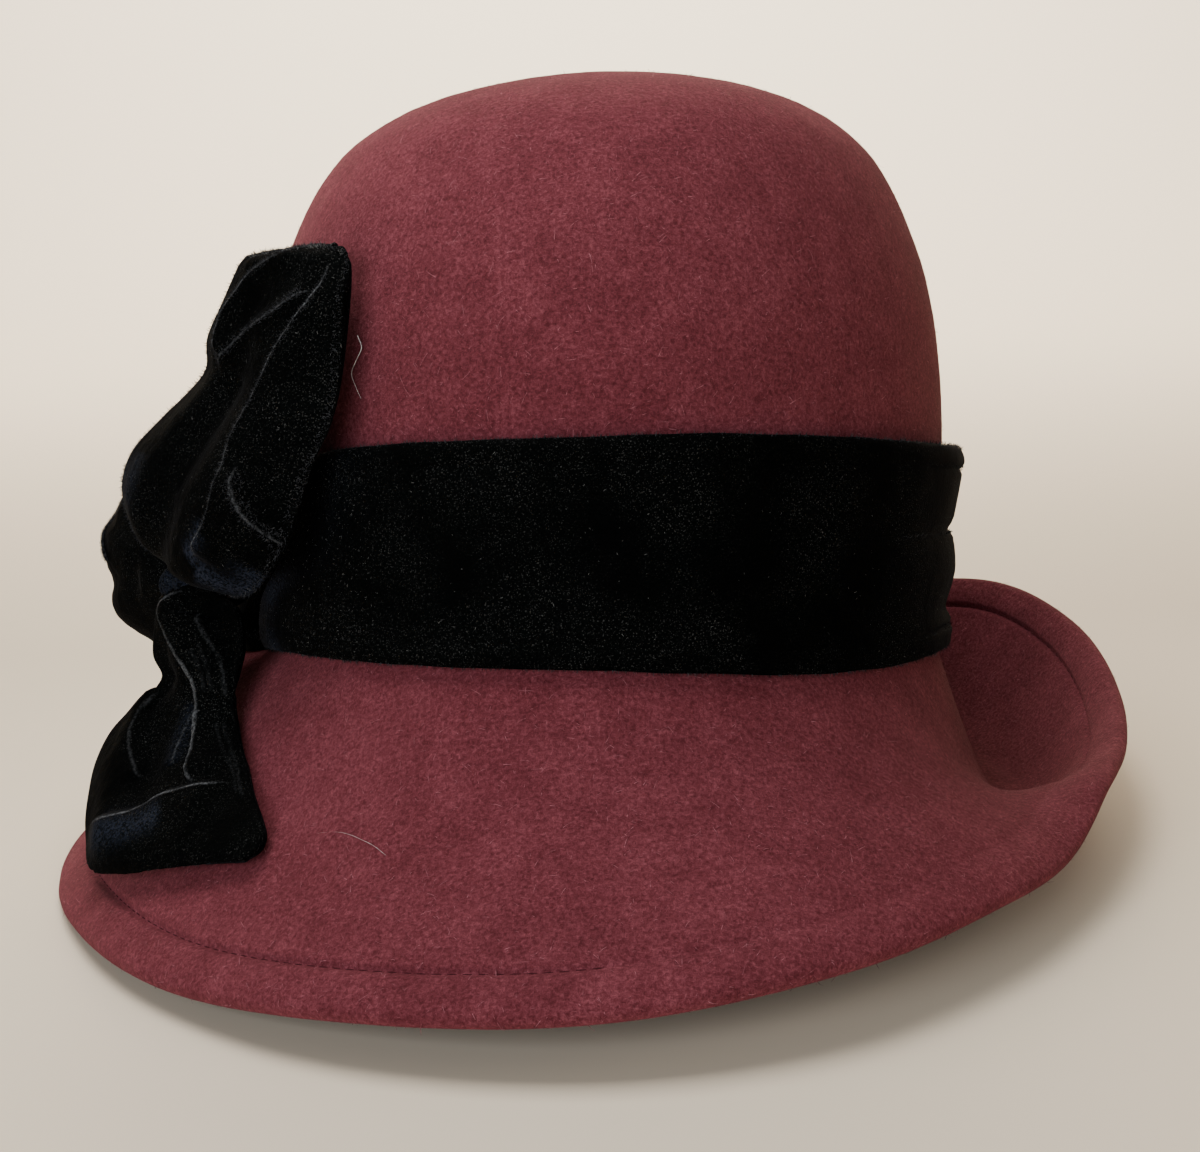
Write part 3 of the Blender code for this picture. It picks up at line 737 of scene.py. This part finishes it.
SIDE_LOOP = [StripRow(place, *row) for place, row in enumerate([
    (-0.1066, -0.0391, 0.0130, -0.1066, -0.0391, 0.0202, 0.0020, 0.0035, 0.0035, 0.0020, 0.0035),
    (-0.1110, -0.0270, 0.0050, -0.1150, -0.0270, 0.0360, 0.0070, 0.0090, 0.0080, 0.0060, 0.0110),
    (-0.1160, -0.0120, -0.0015, -0.1215, -0.0120, 0.0470, 0.0105, 0.0125, 0.0110, 0.0070, 0.0170),
    (-0.1140, 0.0080, -0.0010, -0.1195, 0.0080, 0.0490, 0.0105, 0.0135, 0.0125, 0.0080, 0.0160),
    (-0.1100, 0.0260, 0.0010, -0.1130, 0.0260, 0.0460, 0.0090, 0.0120, 0.0110, 0.0070, 0.0125),
    (-0.1045, 0.0370, 0.0060, -0.1070, 0.0370, 0.0400, 0.0060, 0.0080, 0.0070, 0.0050, 0.0075),
    (-0.1035, 0.0425, 0.0120, -0.1050, 0.0425, 0.0340, 0.0, 0.0, 0.0, 0.0),
])]
TAIL = [StripRow(place, *row) for place, row in enumerate([
    (-0.0973, -0.0530, 0.0166, -0.1082, -0.0440, 0.0146, 0.0010, 0.0020, 0.0020, 0.0010),
    (-0.0886, -0.0600, 0.0113, -0.1104, -0.0420, 0.0111, 0.0005, 0.0020, 0.0035, 0.0020),
    (-0.0869, -0.0600, 0.0055, -0.1114, -0.0410, 0.0045, 0.0, 0.0020, 0.0035, 0.0020),
    (-0.0870, -0.0590, -0.0001, -0.1117, -0.0410, -0.0012, 0.0, 0.0020, 0.0035, 0.0010),
    (-0.0880, -0.0590, -0.0067, -0.1095, -0.0420, -0.0069, 0.0005, 0.0030, 0.0035, 0.0),
    (-0.0880, -0.0600, -0.0127, -0.1152, -0.0400, -0.0136, 0.0010, 0.0035, 0.0025, 0.0005),
    (-0.0865, -0.0640, -0.0182, -0.1225, -0.0390, -0.0204, 0.0015, 0.0035, 0.0015, 0.0020),
    (-0.0834, -0.0754, -0.0241, -0.1261, -0.0410, -0.0280, 0.0020, 0.0035, 0.0010, 0.0035),
    (-0.0802, -0.0864, -0.0297, -0.1267, -0.0460, -0.0349, 0.0025, 0.0040, 0.0020, 0.0040),
    (-0.0767, -0.0956, -0.0344, -0.1257, -0.0540, -0.0412, 0.0030, 0.0045, 0.0035, 0.0040),
    (-0.0752, -0.1008, -0.0374, -0.1233, -0.0620, -0.0463, 0.0030, 0.0045, 0.0040, 0.0035),
    (-0.0763, -0.1034, -0.0403, -0.1205, -0.0680, -0.0497, 0.0025, 0.0035, 0.0035, 0.0025),
    (-0.0797, -0.1031, -0.0426, -0.1153, -0.0740, -0.0504, 0.0015, 0.0020, 0.0020, 0.0010),
])]
# A crease runs along its line of places on the strip. It stands out by its height, fades out over its right and left
# width, has a grey highlight painted along its ridge, or has a bluish sheen painted over its whole width.
Crease = namedtuple("Crease", "height right left grey brushed line")
UPPER_CREASES = [
    Crease(0.0032, 0.0100, 0.0008, 0.85, 0.0,
           [(3.20, 0.260), (3.62, 0.261), (4.05, 0.252), (4.48, 0.240), (5.22, 0.243), (5.89, 0.262),
            (6.54, 0.297), (7.21, 0.303), (8.13, 0.275), (8.83, 0.223), (9.54, 0.160), (9.93, 0.124),
            (10.37, 0.102), (11.52, 0.113)]),
    Crease(0.0013, 0.0030, 0.0022, 0.40, 0.0,
           [(8.16, 0.807), (8.38, 0.748), (8.74, 0.670), (9.15, 0.577), (9.51, 0.400), (9.82, 0.305),
            (10.08, 0.221), (10.21, 0.163)]),
    Crease(0.0022, 0.0050, 0.0008, 0.75, 0.0,
           [(8.29, 0.798), (8.74, 0.790), (9.24, 0.799), (9.70, 0.809), (10.15, 0.780), (10.48, 0.744),
            (10.95, 0.700), (11.64, 0.591), (12.20, 0.498), (12.60, 0.400), (12.70, 0.242)]),
    Crease(0.0, 0.0025, 0.0025, 0.55, 0.30,
           [(1.10, 0.80), (1.60, 0.86), (2.05, 0.91), (2.60, 0.955), (3.30, 0.965), (4.00, 0.965), (4.80, 0.965)]),
    Crease(0.0022, 0.0009, 0.0060, 0.55, 0.0,
           [(4.20, -0.01), (4.41, 0.029), (4.53, 0.059), (4.63, 0.086), (4.78, 0.111), (4.98, 0.137), (5.19, 0.156),
            (5.44, 0.175), (5.90, 0.202)]),
    Crease(0.0, 0.0045, 0.0045, 0.0, 0.8,
           [(2.82, 0.258), (2.66, 0.200), (2.51, 0.153), (2.29, 0.076), (2.34, 0.034), (2.91, 0.027), (3.46, 0.024)]),
    Crease(0.0, 0.0030, 0.0030, 0.0, 0.8, [(3.00, 0.302), (3.44, 0.289), (3.87, 0.278), (4.30, 0.269)]),
    Crease(0.0, 0.0050, 0.0050, 0.0, 0.35, [(5.20, 0.90), (4.59, 0.88), (4.10, 0.88), (3.62, 0.88), (3.00, 0.90)]),
    Crease(-0.0012, 0.0050, 0.0050, 0.0, 0.0, [(4.4, 0.55), (5.6, 0.60), (6.8, 0.62), (8.0, 0.60)]),
]
SIDE_CREASES = [
    Crease(0.0006, 0.0020, 0.0020, 0.30, 0.0, [(2.60, 0.90), (2.45, 0.80), (2.20, 0.70), (1.90, 0.60), (1.60, 0.50)]),
    Crease(-0.0016, 0.0040, 0.0040, 0.0, 0.0, [(0.6, 0.45), (1.6, 0.40), (2.8, 0.38), (4.0, 0.42)]),
    Crease(0.0012, 0.0060, 0.0020, 0.0, 0.0, [(0.8, 0.62), (1.8, 0.66), (3.0, 0.66), (4.4, 0.60)]),
]
TAIL_CREASES = [
    Crease(0.0034, 0.0085, 0.0008, 0.80, 0.0,
           [(0.14, 0.367), (0.51, 0.600), (0.99, 0.714), (1.40, 0.713), (1.89, 0.634), (2.53, 0.554),
            (3.09, 0.482), (3.55, 0.419), (3.96, 0.348), (4.42, 0.294), (4.81, 0.262), (5.42, 0.241),
            (6.44, 0.234), (6.95, 0.247), (7.41, 0.259), (7.90, 0.263)]),
    Crease(0.0014, 0.0008, 0.0050, 0.11, 0.0,
           [(1.20, 0.40), (1.70, 0.355), (2.33, 0.290), (2.99, 0.200), (3.55, 0.118), (4.10, 0.060), (4.68, 0.030)]),
    Crease(0.0004, 0.0005, 0.0005, 0.05, 0.0, [(2.70, 0.390), (2.99, 0.364), (3.64, 0.296), (4.50, 0.200)]),
    Crease(0.0004, 0.0005, 0.0005, 0.05, 0.0, [(2.50, 0.335), (2.78, 0.309), (3.49, 0.240), (4.40, 0.135)]),
    Crease(0.0004, 0.0005, 0.0005, 0.07, 0.0,
           [(5.60, 0.120), (6.21, 0.099), (6.92, 0.077), (7.58, 0.063), (8.27, 0.063)]),
    Crease(0.0004, 0.0005, 0.0005, 0.07, 0.0,
           [(5.60, 0.075), (6.21, 0.061), (6.99, 0.047), (7.75, 0.043), (8.38, 0.045)]),
    Crease(0.0014, 0.0022, 0.0030, 0.22, 0.25,
           [(5.00, 0.300), (5.31, 0.312), (5.98, 0.330), (6.52, 0.355), (7.20, 0.375)]),
    Crease(0.0024, 0.0014, 0.0050, 0.15, 0.0,
           [(4.60, 0.910), (4.81, 0.898), (5.19, 0.890), (5.64, 0.810), (6.11, 0.749), (6.49, 0.714),
            (6.81, 0.683), (7.24, 0.649), (7.60, 0.632)]),
    Crease(0.0032, 0.0009, 0.0150, 0.80, 0.0,
           [(9.20, 0.960), (8.94, 0.789), (8.81, 0.687), (8.72, 0.626), (8.58, 0.560), (8.41, 0.496),
            (8.17, 0.420), (8.03, 0.348), (7.94, 0.290), (7.84, 0.230), (7.78, 0.175), (7.75, 0.100)]),
    Crease(0.0, 0.0040, 0.0040, 0.0, 0.55,
           [(9.60, 0.92), (9.44, 0.807), (9.30, 0.698), (9.25, 0.615), (8.90, 0.485), (8.60, 0.38)]),
]
# How far a loop's folded-over end rises between its edges, as a curve across the strip.
TIP_CURVE = [(0.0, 0.0), (0.10, 0.0013), (0.25, 0.0022), (0.45, 0.0016), (0.75, 0.0010), (1.0, 0.0)]
CREASE_POINTS = 240
CREASE_REACH = 0.00095     # how far from its line a crease's painted grey highlight reaches
CREASE_FADE = 0.12         # share of a crease over which it starts and ends
NO_CREASE = 0.003          # a distance at which no crease is near
CLOTH_WAVE = 0.0005        # how far the cloth's surface is uneven
CLOTH_GRAIN = 0.00018
SEEN_FACES = 130           # faces across the seen side of a strip
HIDDEN_FACES = 30
LOOP_RINGS = 180


def strip_away(row):
    """The way a strip's row stands out from the hat."""
    right, left = Vector(row[0:3]), Vector(row[3:6])
    away = Vector((left.x + right.x, left.y + right.y, 0.0))
    away -= away.project(left - right)
    return away.normalized()


def strip_point(row, across, hidden=False):
    """A point of a strip's row, from its right edge at 0 to its left edge at 1, on the seen or the hidden side."""
    right, left = Vector(row[0:3]), Vector(row[3:6])
    point = right.lerp(left, across)
    fold_heights, back, rise = row[6:10], row[10], row[11]
    point.z += rise * between(TIP_CURVE, across)[0]
    if hidden:
        return point - strip_away(row) * back * sqrt(max(sin(pi * across), 0.0))
    folds = [(0.0, 0.0)] + [(0.2 * (k + 1), fold_heights[k]) for k in range(4)] + [(1.0, 0.0)]
    return point + strip_away(row) * between(folds, across)[0]


def lay_creases(table, creases):
    """Each crease as a row of close points on the strip, with a tree to find the nearest of them."""
    laid = []
    for crease in creases:
        line = [(number, *place) for number, place in enumerate(crease.line)]
        points = []
        tree = KDTree(CREASE_POINTS + 1)
        for step in range(CREASE_POINTS + 1):
            place, across = between(line, (len(line) - 1) * step / CREASE_POINTS)
            points.append((place, across))
            tree.insert(strip_point(between(table, place), across), step)
        tree.balance()
        laid.append((crease, points, tree))
    return laid


def creased_point(row, place, across, laid):
    """A point of the seen side with its creases, and its marks: painted grey highlight, distance from the line,
    painted bluish sheen.
    """
    point = strip_point(row, across)
    rise = CLOTH_WAVE * noise.noise(point * 90) + CLOTH_GRAIN * noise.noise(point * 420)
    rise *= smooth_step(0.0, 0.12, min(across, 1 - across))
    grey, apart, brushed = 0.0, NO_CREASE, 0.0
    for crease, points, tree in laid:
        _, index, distance = tree.find(point)
        first = min(index, CREASE_POINTS - 1)
        run = points[first + 1][0] - points[first][0], points[first + 1][1] - points[first][1]
        side = run[0] * (across - points[index][1]) - run[1] * (place - points[index][0])
        width = crease.left if side > 0 else crease.right
        end = smooth_step(0.0, CREASE_FADE, min(index, CREASE_POINTS - index) / CREASE_POINTS)
        rise += crease.height * end * hump(distance, width)
        brushed = max(brushed, crease.brushed * end * hump(distance, width))
        shown = crease.grey * end * hump(distance, CREASE_REACH)
        if shown > grey:
            grey, apart = shown, distance if side > 0 else -distance
    return point + strip_away(row) * rise, (grey, apart, brushed)


def strip_piece(name, table, creases, loop=True):
    """A strip's velvet piece: a hollow loop, folded over at its far end, or a single hanging end."""
    laid = lay_creases(table, creases)
    rows = [between(table, table[-1].place * ring / LOOP_RINGS) for ring in range(LOOP_RINGS + 1)]
    marks = {}

    def key(point):
        return tuple(round(part, 6) for part in point)

    def shape(column, ring):
        row, place = rows[ring], table[-1].place * ring / LOOP_RINGS
        if column > SEEN_FACES:
            return at_rest(strip_point(row, 1 - (column - SEEN_FACES) / HIDDEN_FACES, True))
        point, mark = creased_point(row, place, column / SEEN_FACES, laid)
        if loop and ring == LOOP_RINGS:
            point = strip_point(row, column / SEEN_FACES)
        point = at_rest(point)
        marks[key(point)] = mark
        return point

    piece = grid_piece(name, SEEN_FACES + (HIDDEN_FACES if loop else 0), LOOP_RINGS, shape, closed=(loop, False))
    for index, mark_name in enumerate(("crease", "apart", "brushed")):
        set_marks(piece, mark_name, lambda vertex: marks.get(key(vertex.co), (0, NO_CREASE, 0))[index])
    piece.data.materials.append(black_pile)
    wall = piece.modifiers.new("wall", "SOLIDIFY")
    wall.thickness = VELVET if loop else TAIL_VELVET
    wall.offset = -1.0 if loop else 0.0
    wall.use_even_offset = False
    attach(piece, "root")
    return piece


upper_loop = strip_piece("velvet_upper_loop", UPPER_LOOP, UPPER_CREASES)
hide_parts("bow_upper_loop")
side_loop = strip_piece("velvet_side_loop", SIDE_LOOP, SIDE_CREASES)
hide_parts("bow_side_loop")
tail = strip_piece("velvet_tail", TAIL, TAIL_CREASES, loop=False)
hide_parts("bow_tail")


# The knot: a short strip of velvet wound over the bow's gathered middle and sewn to the band behind it. The winding
# lies in slanting pleats.
KNOT_AZIMUTH = radians(66.6)
KNOT_REACH = (0.0948, 0.1195)
KNOT_HALF_WIDTH = 0.0085
KNOT_HALF_HEIGHT = 0.0072
KNOT_MIDDLE = 0.0170
KNOT_COLUMNS = 96
KNOT_RINGS = 72
KNOT_PLEATS = 5
PLEAT_DEPTH = 0.0011
KNOT_FULLNESS = 0.55       # below 1, the winding is fuller towards its sides than a ball
KNOT_SLANT = 0.18
# a bluish sheen painted evenly over the whole winding
KNOT_PAINTED_SHEEN = 0.45


def knot_point(column, ring):
    """A point of the wound knot: columns go round the winding and rings from one side of it to the other."""
    around, along = 2 * pi * column / KNOT_COLUMNS, pi * ring / KNOT_RINGS
    outward = hat_point(KNOT_AZIMUTH, 1.0, 0.0)
    sideways = hat_point(KNOT_AZIMUTH + pi / 2, 1.0, 0.0)
    girth = sin(along)**KNOT_FULLNESS
    pleat = abs(sin(KNOT_PLEATS * along + 1.2 * cos(around) + 0.4 * sin(2 * around)))
    swell = 1 - PLEAT_DEPTH / KNOT_HALF_HEIGHT * (1 - pleat) * girth
    middle = 0.5 * (KNOT_REACH[0] + KNOT_REACH[1])
    deep = 0.5 * (KNOT_REACH[1] - KNOT_REACH[0])
    point = outward * (middle + deep * girth * cos(around) * swell)
    point += sideways * (-KNOT_HALF_WIDTH * cos(along))
    point.z = KNOT_MIDDLE + KNOT_HALF_HEIGHT * girth * sin(around) * swell
    point.z += KNOT_SLANT * KNOT_HALF_WIDTH * cos(along)
    return at_rest(point)


knot = grid_piece("velvet_knot", KNOT_COLUMNS, KNOT_RINGS, knot_point)
knot.data.materials.append(black_pile)
set_marks(knot, "brushed", lambda vertex: KNOT_PAINTED_SHEEN)
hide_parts("bow_knot")
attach(knot, "root")


# Loose fibres: the felt's nap stands off its surface in short curved wool hairs, and the velvet's pile shows as a
# fine fringe, black to dark grey, along its edges and creases. Each mesh of fibres is cut from one long grid.
NAP_HAIRS = 16000
NAP_LENGTH = (0.0008, 0.0022)
NAP_WIDTH = 0.00014
CURLED_HAIRS = 9000
CURL_LENGTH = (0.0012, 0.0042)
CURL_WIDTH = 0.00017
PILE_HAIRS = 7000
EDGE_HAIRS = 4000
CREASE_HAIRS = 5000
PILE_LENGTH = (0.0005, 0.0012)
PILE_WIDTH = 0.00019
CREASE_HAIR_WIDTH = 0.00010
EDGE_SHARE = 0.02          # the edge's fringe grows on this share of a strip's width
CREASE_GREY = 0.6          # and a crease's where its corners' grey adds up to more than this
FIBRE_BEND = 0.35
FIBRE_ROOT = 0.0001        # a fibre starts this deep in its piece
FIBRE_CLEAR = 0.0002       # one that comes nearer to the table than this is left out
THREAD_END = [(-0.1200, -0.0690, -0.0488), (-0.1218, -0.0695, -0.0484), (-0.1238, -0.0700, -0.0496)]
THREAD_END_WIDTH = 0.00025
FIBRE_COLORS = {           # from the darkest to the palest fibres
    "wool_hairs": ((0.110, 0.021, 0.029, 1), (0.300, 0.105, 0.125, 1)),
    "pile_tips": ((0.003, 0.003, 0.004, 1), (0.042, 0.043, 0.047, 1)),
    "pale_lint_and_glints": ((0.050, 0.050, 0.052, 1), (0.220, 0.220, 0.210, 1)),
    "pale_hair": ((0.350, 0.300, 0.300, 1), (0.600, 0.560, 0.540, 1)),
}


def fibre_finish(name):
    """Loose fibre, some of it darker."""
    material, shader, start = new_finish(name, {"Roughness": 0.85, "Specular IOR Level": 0.1})
    pale = start.place().noise(900.0, 2.0).clear(0.35, 0.65)
    start.feed(shader.inputs["Base Color"], pale.mix(*FIBRE_COLORS[name]))
    return material


def scatter(piece, count, seed, keep=None):
    """Random places all over a piece, with the surface's direction there, evenly by area."""
    pick = Random(seed)
    mesh = piece.data
    faces = [face for face in mesh.polygons if keep is None or keep(face)]
    for face in pick.choices(faces, weights=[face.area for face in faces], k=count):
        corners = [mesh.vertices[index].co for index in face.vertices]
        first, second = pick.random(), pick.random()
        if len(corners) == 4:
            point = corners[0].lerp(corners[1], first).lerp(corners[3].lerp(corners[2], first), second)
        else:
            point = corners[0].lerp(corners[1], first).lerp(corners[2], second)
        yield point, face.normal.copy(), pick


def cut_fibres(name, fibres, segments=2):
    """Thin tapering ribbons, each along its own row of points, all in one mesh."""
    mesh = bpy.data.meshes.new(name)
    cut = bmesh.new()
    columns = 2 * len(fibres) - 1
    bmesh.ops.create_grid(cut, x_segments=columns, y_segments=segments, size=0.5)
    spare = [face for face in cut.faces if int((face.calc_center_median().x + 0.5) * columns) % 2]
    places = []
    for vertex in cut.verts:
        column = round((vertex.co.x + 0.5) * columns)
        row = round((vertex.co.y + 0.5) * segments)
        points, width, sideways = fibres[column // 2]
        reach = width * (1.0 - 0.75 * row / segments) * (0.5 if column % 2 else -0.5)
        places.append(points[row] + sideways * reach)
    for vertex, place in zip(cut.verts, places):
        vertex.co = place
    bmesh.ops.delete(cut, geom=spare, context="FACES")
    cut.to_mesh(mesh)
    cut.free()
    return add_object(name, mesh)


def standing_fibres(piece, count, seed, lengths, width, flat, keep=None):
    """Short fibres rooted on a piece. flat is how much they lie down: 0 stands straight up."""
    fibres = []
    for point, normal, pick in scatter(piece, count, seed, keep):
        way = Vector([pick.gauss(0, 1) for _ in range(3)])
        way -= way.project(normal)
        way.normalize()
        bend = Vector([pick.gauss(0, 1) for _ in range(3)]) * FIBRE_BEND
        length = lengths[0] + (lengths[1] - lengths[0]) * pick.random()**2
        lie = flat * (0.6 + 0.8 * pick.random())
        first = (normal + way * lie).normalized()
        second = (first + way * 0.5 * lie + bend - normal * 0.15 * lie).normalized()
        middle = point + first * 0.5 * length
        tip = middle + second * 0.5 * length
        if min(middle.z, tip.z) >= FIBRE_CLEAR:
            fibres.append(([point - normal * FIBRE_ROOT, middle, tip], width, normal.cross(way + bend).normalized()))
    return fibres


def along_edges(piece):
    """A test for the faces of a strip's piece that lie along its edges or at its far end."""
    runs = piece.data.uv_layers["run"].data
    edge = SEEN_FACES / (SEEN_FACES + HIDDEN_FACES) if piece is not tail else 1.0

    def test(face):
        run = runs[face.loop_start].uv
        return min(run.x, abs(edge - run.x), 0.6 * (1 - run.y)) < EDGE_SHARE
    return test


def along_creases(piece):
    """A test for the faces of a strip's piece where a crease shows grey."""
    grey = piece.data.attributes["crease"].data
    return lambda face: sum(grey[index].value for index in face.vertices) > CREASE_GREY


wool = standing_fibres(felt_hat, NAP_HAIRS, 11, NAP_LENGTH, NAP_WIDTH, 2.2)
wool += standing_fibres(felt_hat, CURLED_HAIRS, 15, CURL_LENGTH, CURL_WIDTH, 5.5)
nap = cut_fibres("felt_nap", wool)
nap.data.materials.append(fibre_finish("wool_hairs"))
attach(nap, "root")
up = LEAN @ Vector((0, 0, 1))
pile = standing_fibres(velvet_band, PILE_HAIRS, 12, PILE_LENGTH, PILE_WIDTH, 0.5,
                       keep=lambda face: abs(face.normal.dot(up)) > 0.6)
for number, piece in enumerate((upper_loop, side_loop, tail)):
    pile += standing_fibres(piece, EDGE_HAIRS, 13 + number, PILE_LENGTH, PILE_WIDTH, 0.5, along_edges(piece))
    pile += standing_fibres(piece, CREASE_HAIRS, 31 + number, PILE_LENGTH, CREASE_HAIR_WIDTH, 0.7,
                            along_creases(piece))
pile.append(([at_rest(point) for point in THREAD_END], THREAD_END_WIDTH, Vector((0, 0, 1))))
pile_fringe = cut_fibres("velvet_pile_fringe", pile)
pile_fringe.data.materials.append(fibre_finish("pile_tips"))
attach(pile_fringe, "root")


# Lint: pale specks and short curls caught in the pile, thickest by the band's folded end, and two loose hairs. Their
# pale colour is partly real lint and partly painted glints of the pile. The pale bristles at the upper loop's tip are
# pile that stands up where the velvet is folded over; their pale colour is a painted highlight on the black pile.
LINT_LENGTH = (0.00025, 0.0010)
LINT_WIDTH = 0.00010
LINT_FLAT = 5.0
TIP_BRISTLES = 420
TIP_BRISTLE_LENGTH = (0.0007, 0.0016)
TIP_SHARE = 0.95                   # they stand beyond this share of the loop's length
BESIDE_FOLD = (0.55, 1.25)         # azimuths in radians
TUFT_PLACE = (-0.1090, -0.0432, -0.0070)     # a tuft of lint beside the knot
TUFT = [(0, 0, 0), (0.0004, -0.0002, -0.0004), (0.0009, -0.0003, -0.0006)]
TUFT_WIDTH = 0.0007


def beside_fold(face):
    """The band's front beside its folded end."""
    upright = LEAN.inverted() @ (face.center - FOOT)
    return BESIDE_FOLD[0] < atan2(-upright.x, -upright.y) < BESIDE_FOLD[1]


lint = []
for piece, count, seed, keep in ((velvet_band, 2400, 21, beside_fold), (velvet_band, 1500, 22, None),
                                 (upper_loop, 700, 23, None), (tail, 300, 24, None)):
    lint += standing_fibres(piece, count, seed, LINT_LENGTH, LINT_WIDTH, LINT_FLAT, keep)
loop_runs = upper_loop.data.uv_layers["run"].data
lint += standing_fibres(upper_loop, TIP_BRISTLES, 25, TIP_BRISTLE_LENGTH, LINT_WIDTH, 1.0,
                        keep=lambda face: loop_runs[face.loop_start].uv.y > TIP_SHARE)
lint.append(([at_rest(TUFT_PLACE) + Vector(step) for step in TUFT], TUFT_WIDTH, Vector((0, 0, 1))))
velvet_lint_and_glints = cut_fibres("velvet_lint_and_glints", lint)
velvet_lint_and_glints.data.materials.append(fibre_finish("pale_lint_and_glints"))
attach(velvet_lint_and_glints, "root")
CROWN_HAIR = [(0, 36.1, 0.0751), (1, 35.1, 0.0722), (2, 36.1, 0.0692), (3, 36.9, 0.0664), (4, 36.0, 0.0634),
              (5, 34.8, 0.0604)]        # azimuth and height
BRIM_HAIR = [(0, 31.0, 0.640), (1, 28.8, 0.628), (2, 26.8, 0.632), (3, 24.9, 0.648), (4, 23.1, 0.668),
             (5, 21.4, 0.698)]          # azimuth and share of the brim's width
HAIR_SEGMENTS = 24
HAIR_WIDTH = 0.00022
CROWN_HAIR_LIFT = 0.0010
BRIM_HAIR_LIFT = 0.0009


def hair_point(step, on_brim):
    """A point of a loose hair that lies on the felt."""
    azimuth, place = between(BRIM_HAIR if on_brim else CROWN_HAIR, 5 * step / HAIR_SEGMENTS)
    azimuth = radians(azimuth)
    if on_brim:
        point, _ = brim_line(azimuth, [(place, None)])[0]
        return at_rest(hat_point(azimuth, point.x + BRIM_HAIR_LIFT, point.y + BRIM_HAIR_LIFT))
    return at_rest(hat_point(azimuth, crown_radius(azimuth, place) + CROWN_HAIR_LIFT, place))


hairs = [([hair_point(step, on_brim) for step in range(HAIR_SEGMENTS + 1)], HAIR_WIDTH, Vector((1, 0, 0)))
         for on_brim in (False, True)]
loose_hairs = cut_fibres("loose_hairs", hairs, HAIR_SEGMENTS)
loose_hairs.data.materials.append(fibre_finish("pale_hair"))
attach(loose_hairs, "root")


# The table that the hat stands on, swept up far behind it, the room's soft light, and the lamps.
TABLE_HALF = 3.0
TABLE_STEP = 0.1
TABLE_ROWS = 70
SWEEP_START = 1.2
SWEEP_RADIUS = 0.9
TABLE_COLOR = (0.80, 0.69, 0.54, 1)
ROOM_COLOR = (0.88, 0.85, 0.80, 1)
ROOM_STRENGTH = 0.15


def table_point(column, row):
    """A pale sheet: flat round the hat, and curved up to a wall behind it."""
    run = -TABLE_HALF + TABLE_STEP * row
    x = (column / 2 - 0.5) * 2 * TABLE_HALF
    turn = min(max(run - SWEEP_START, 0.0) / SWEEP_RADIUS, pi / 2)
    rest = max(run - SWEEP_START - SWEEP_RADIUS * pi / 2, 0.0)
    return Vector((x, min(run, SWEEP_START) + SWEEP_RADIUS * sin(turn), SWEEP_RADIUS * (1 - cos(turn)) + rest))


table_top = grid_piece("table_top", 2, TABLE_ROWS, table_point, closed=(False, False))
table_top.data.materials.append(new_finish("pale_table", {"Base Color": TABLE_COLOR, "Roughness": 0.6})[0])

room = bpy.data.worlds.new("room")
room.use_nodes = True
room.node_tree.nodes["Background"].inputs["Color"].default_value = ROOM_COLOR
room.node_tree.nodes["Background"].inputs["Strength"].default_value = ROOM_STRENGTH
bpy.context.scene.world = room


def lamp(name, place, aim, size, power, color):
    """A soft square lamp that shines from one point towards another."""
    light = bpy.data.lights.new(name, "AREA")
    light.size = size
    light.energy = power
    light.color = color
    made = add_object(name, light)
    made.location = place
    made.rotation_euler = (Vector(aim) - Vector(place)).to_track_quat("-Z", "Y").to_euler()


lamp("ceiling_light", (-0.12, 0.0, 0.62), (0.0, 0.0, 0.1), 0.42, 4.1, (1.0, 0.97, 0.94))
lamp("left_window", (-0.55, -1.40, 0.42), (0.0, 0.0, 0.15), 1.0, 22.5, (0.88, 0.94, 1.0))
lamp("right_fill", (1.2, -0.6, 0.6), (0.0, 0.0, 0.1), 0.9, 2.6, (1.0, 0.84, 0.68))
lamp("wall_light", (0.0, 0.9, 1.7), (0.0, 2.9, 0.9), 1.4, 130.0, (1.0, 0.95, 0.88))
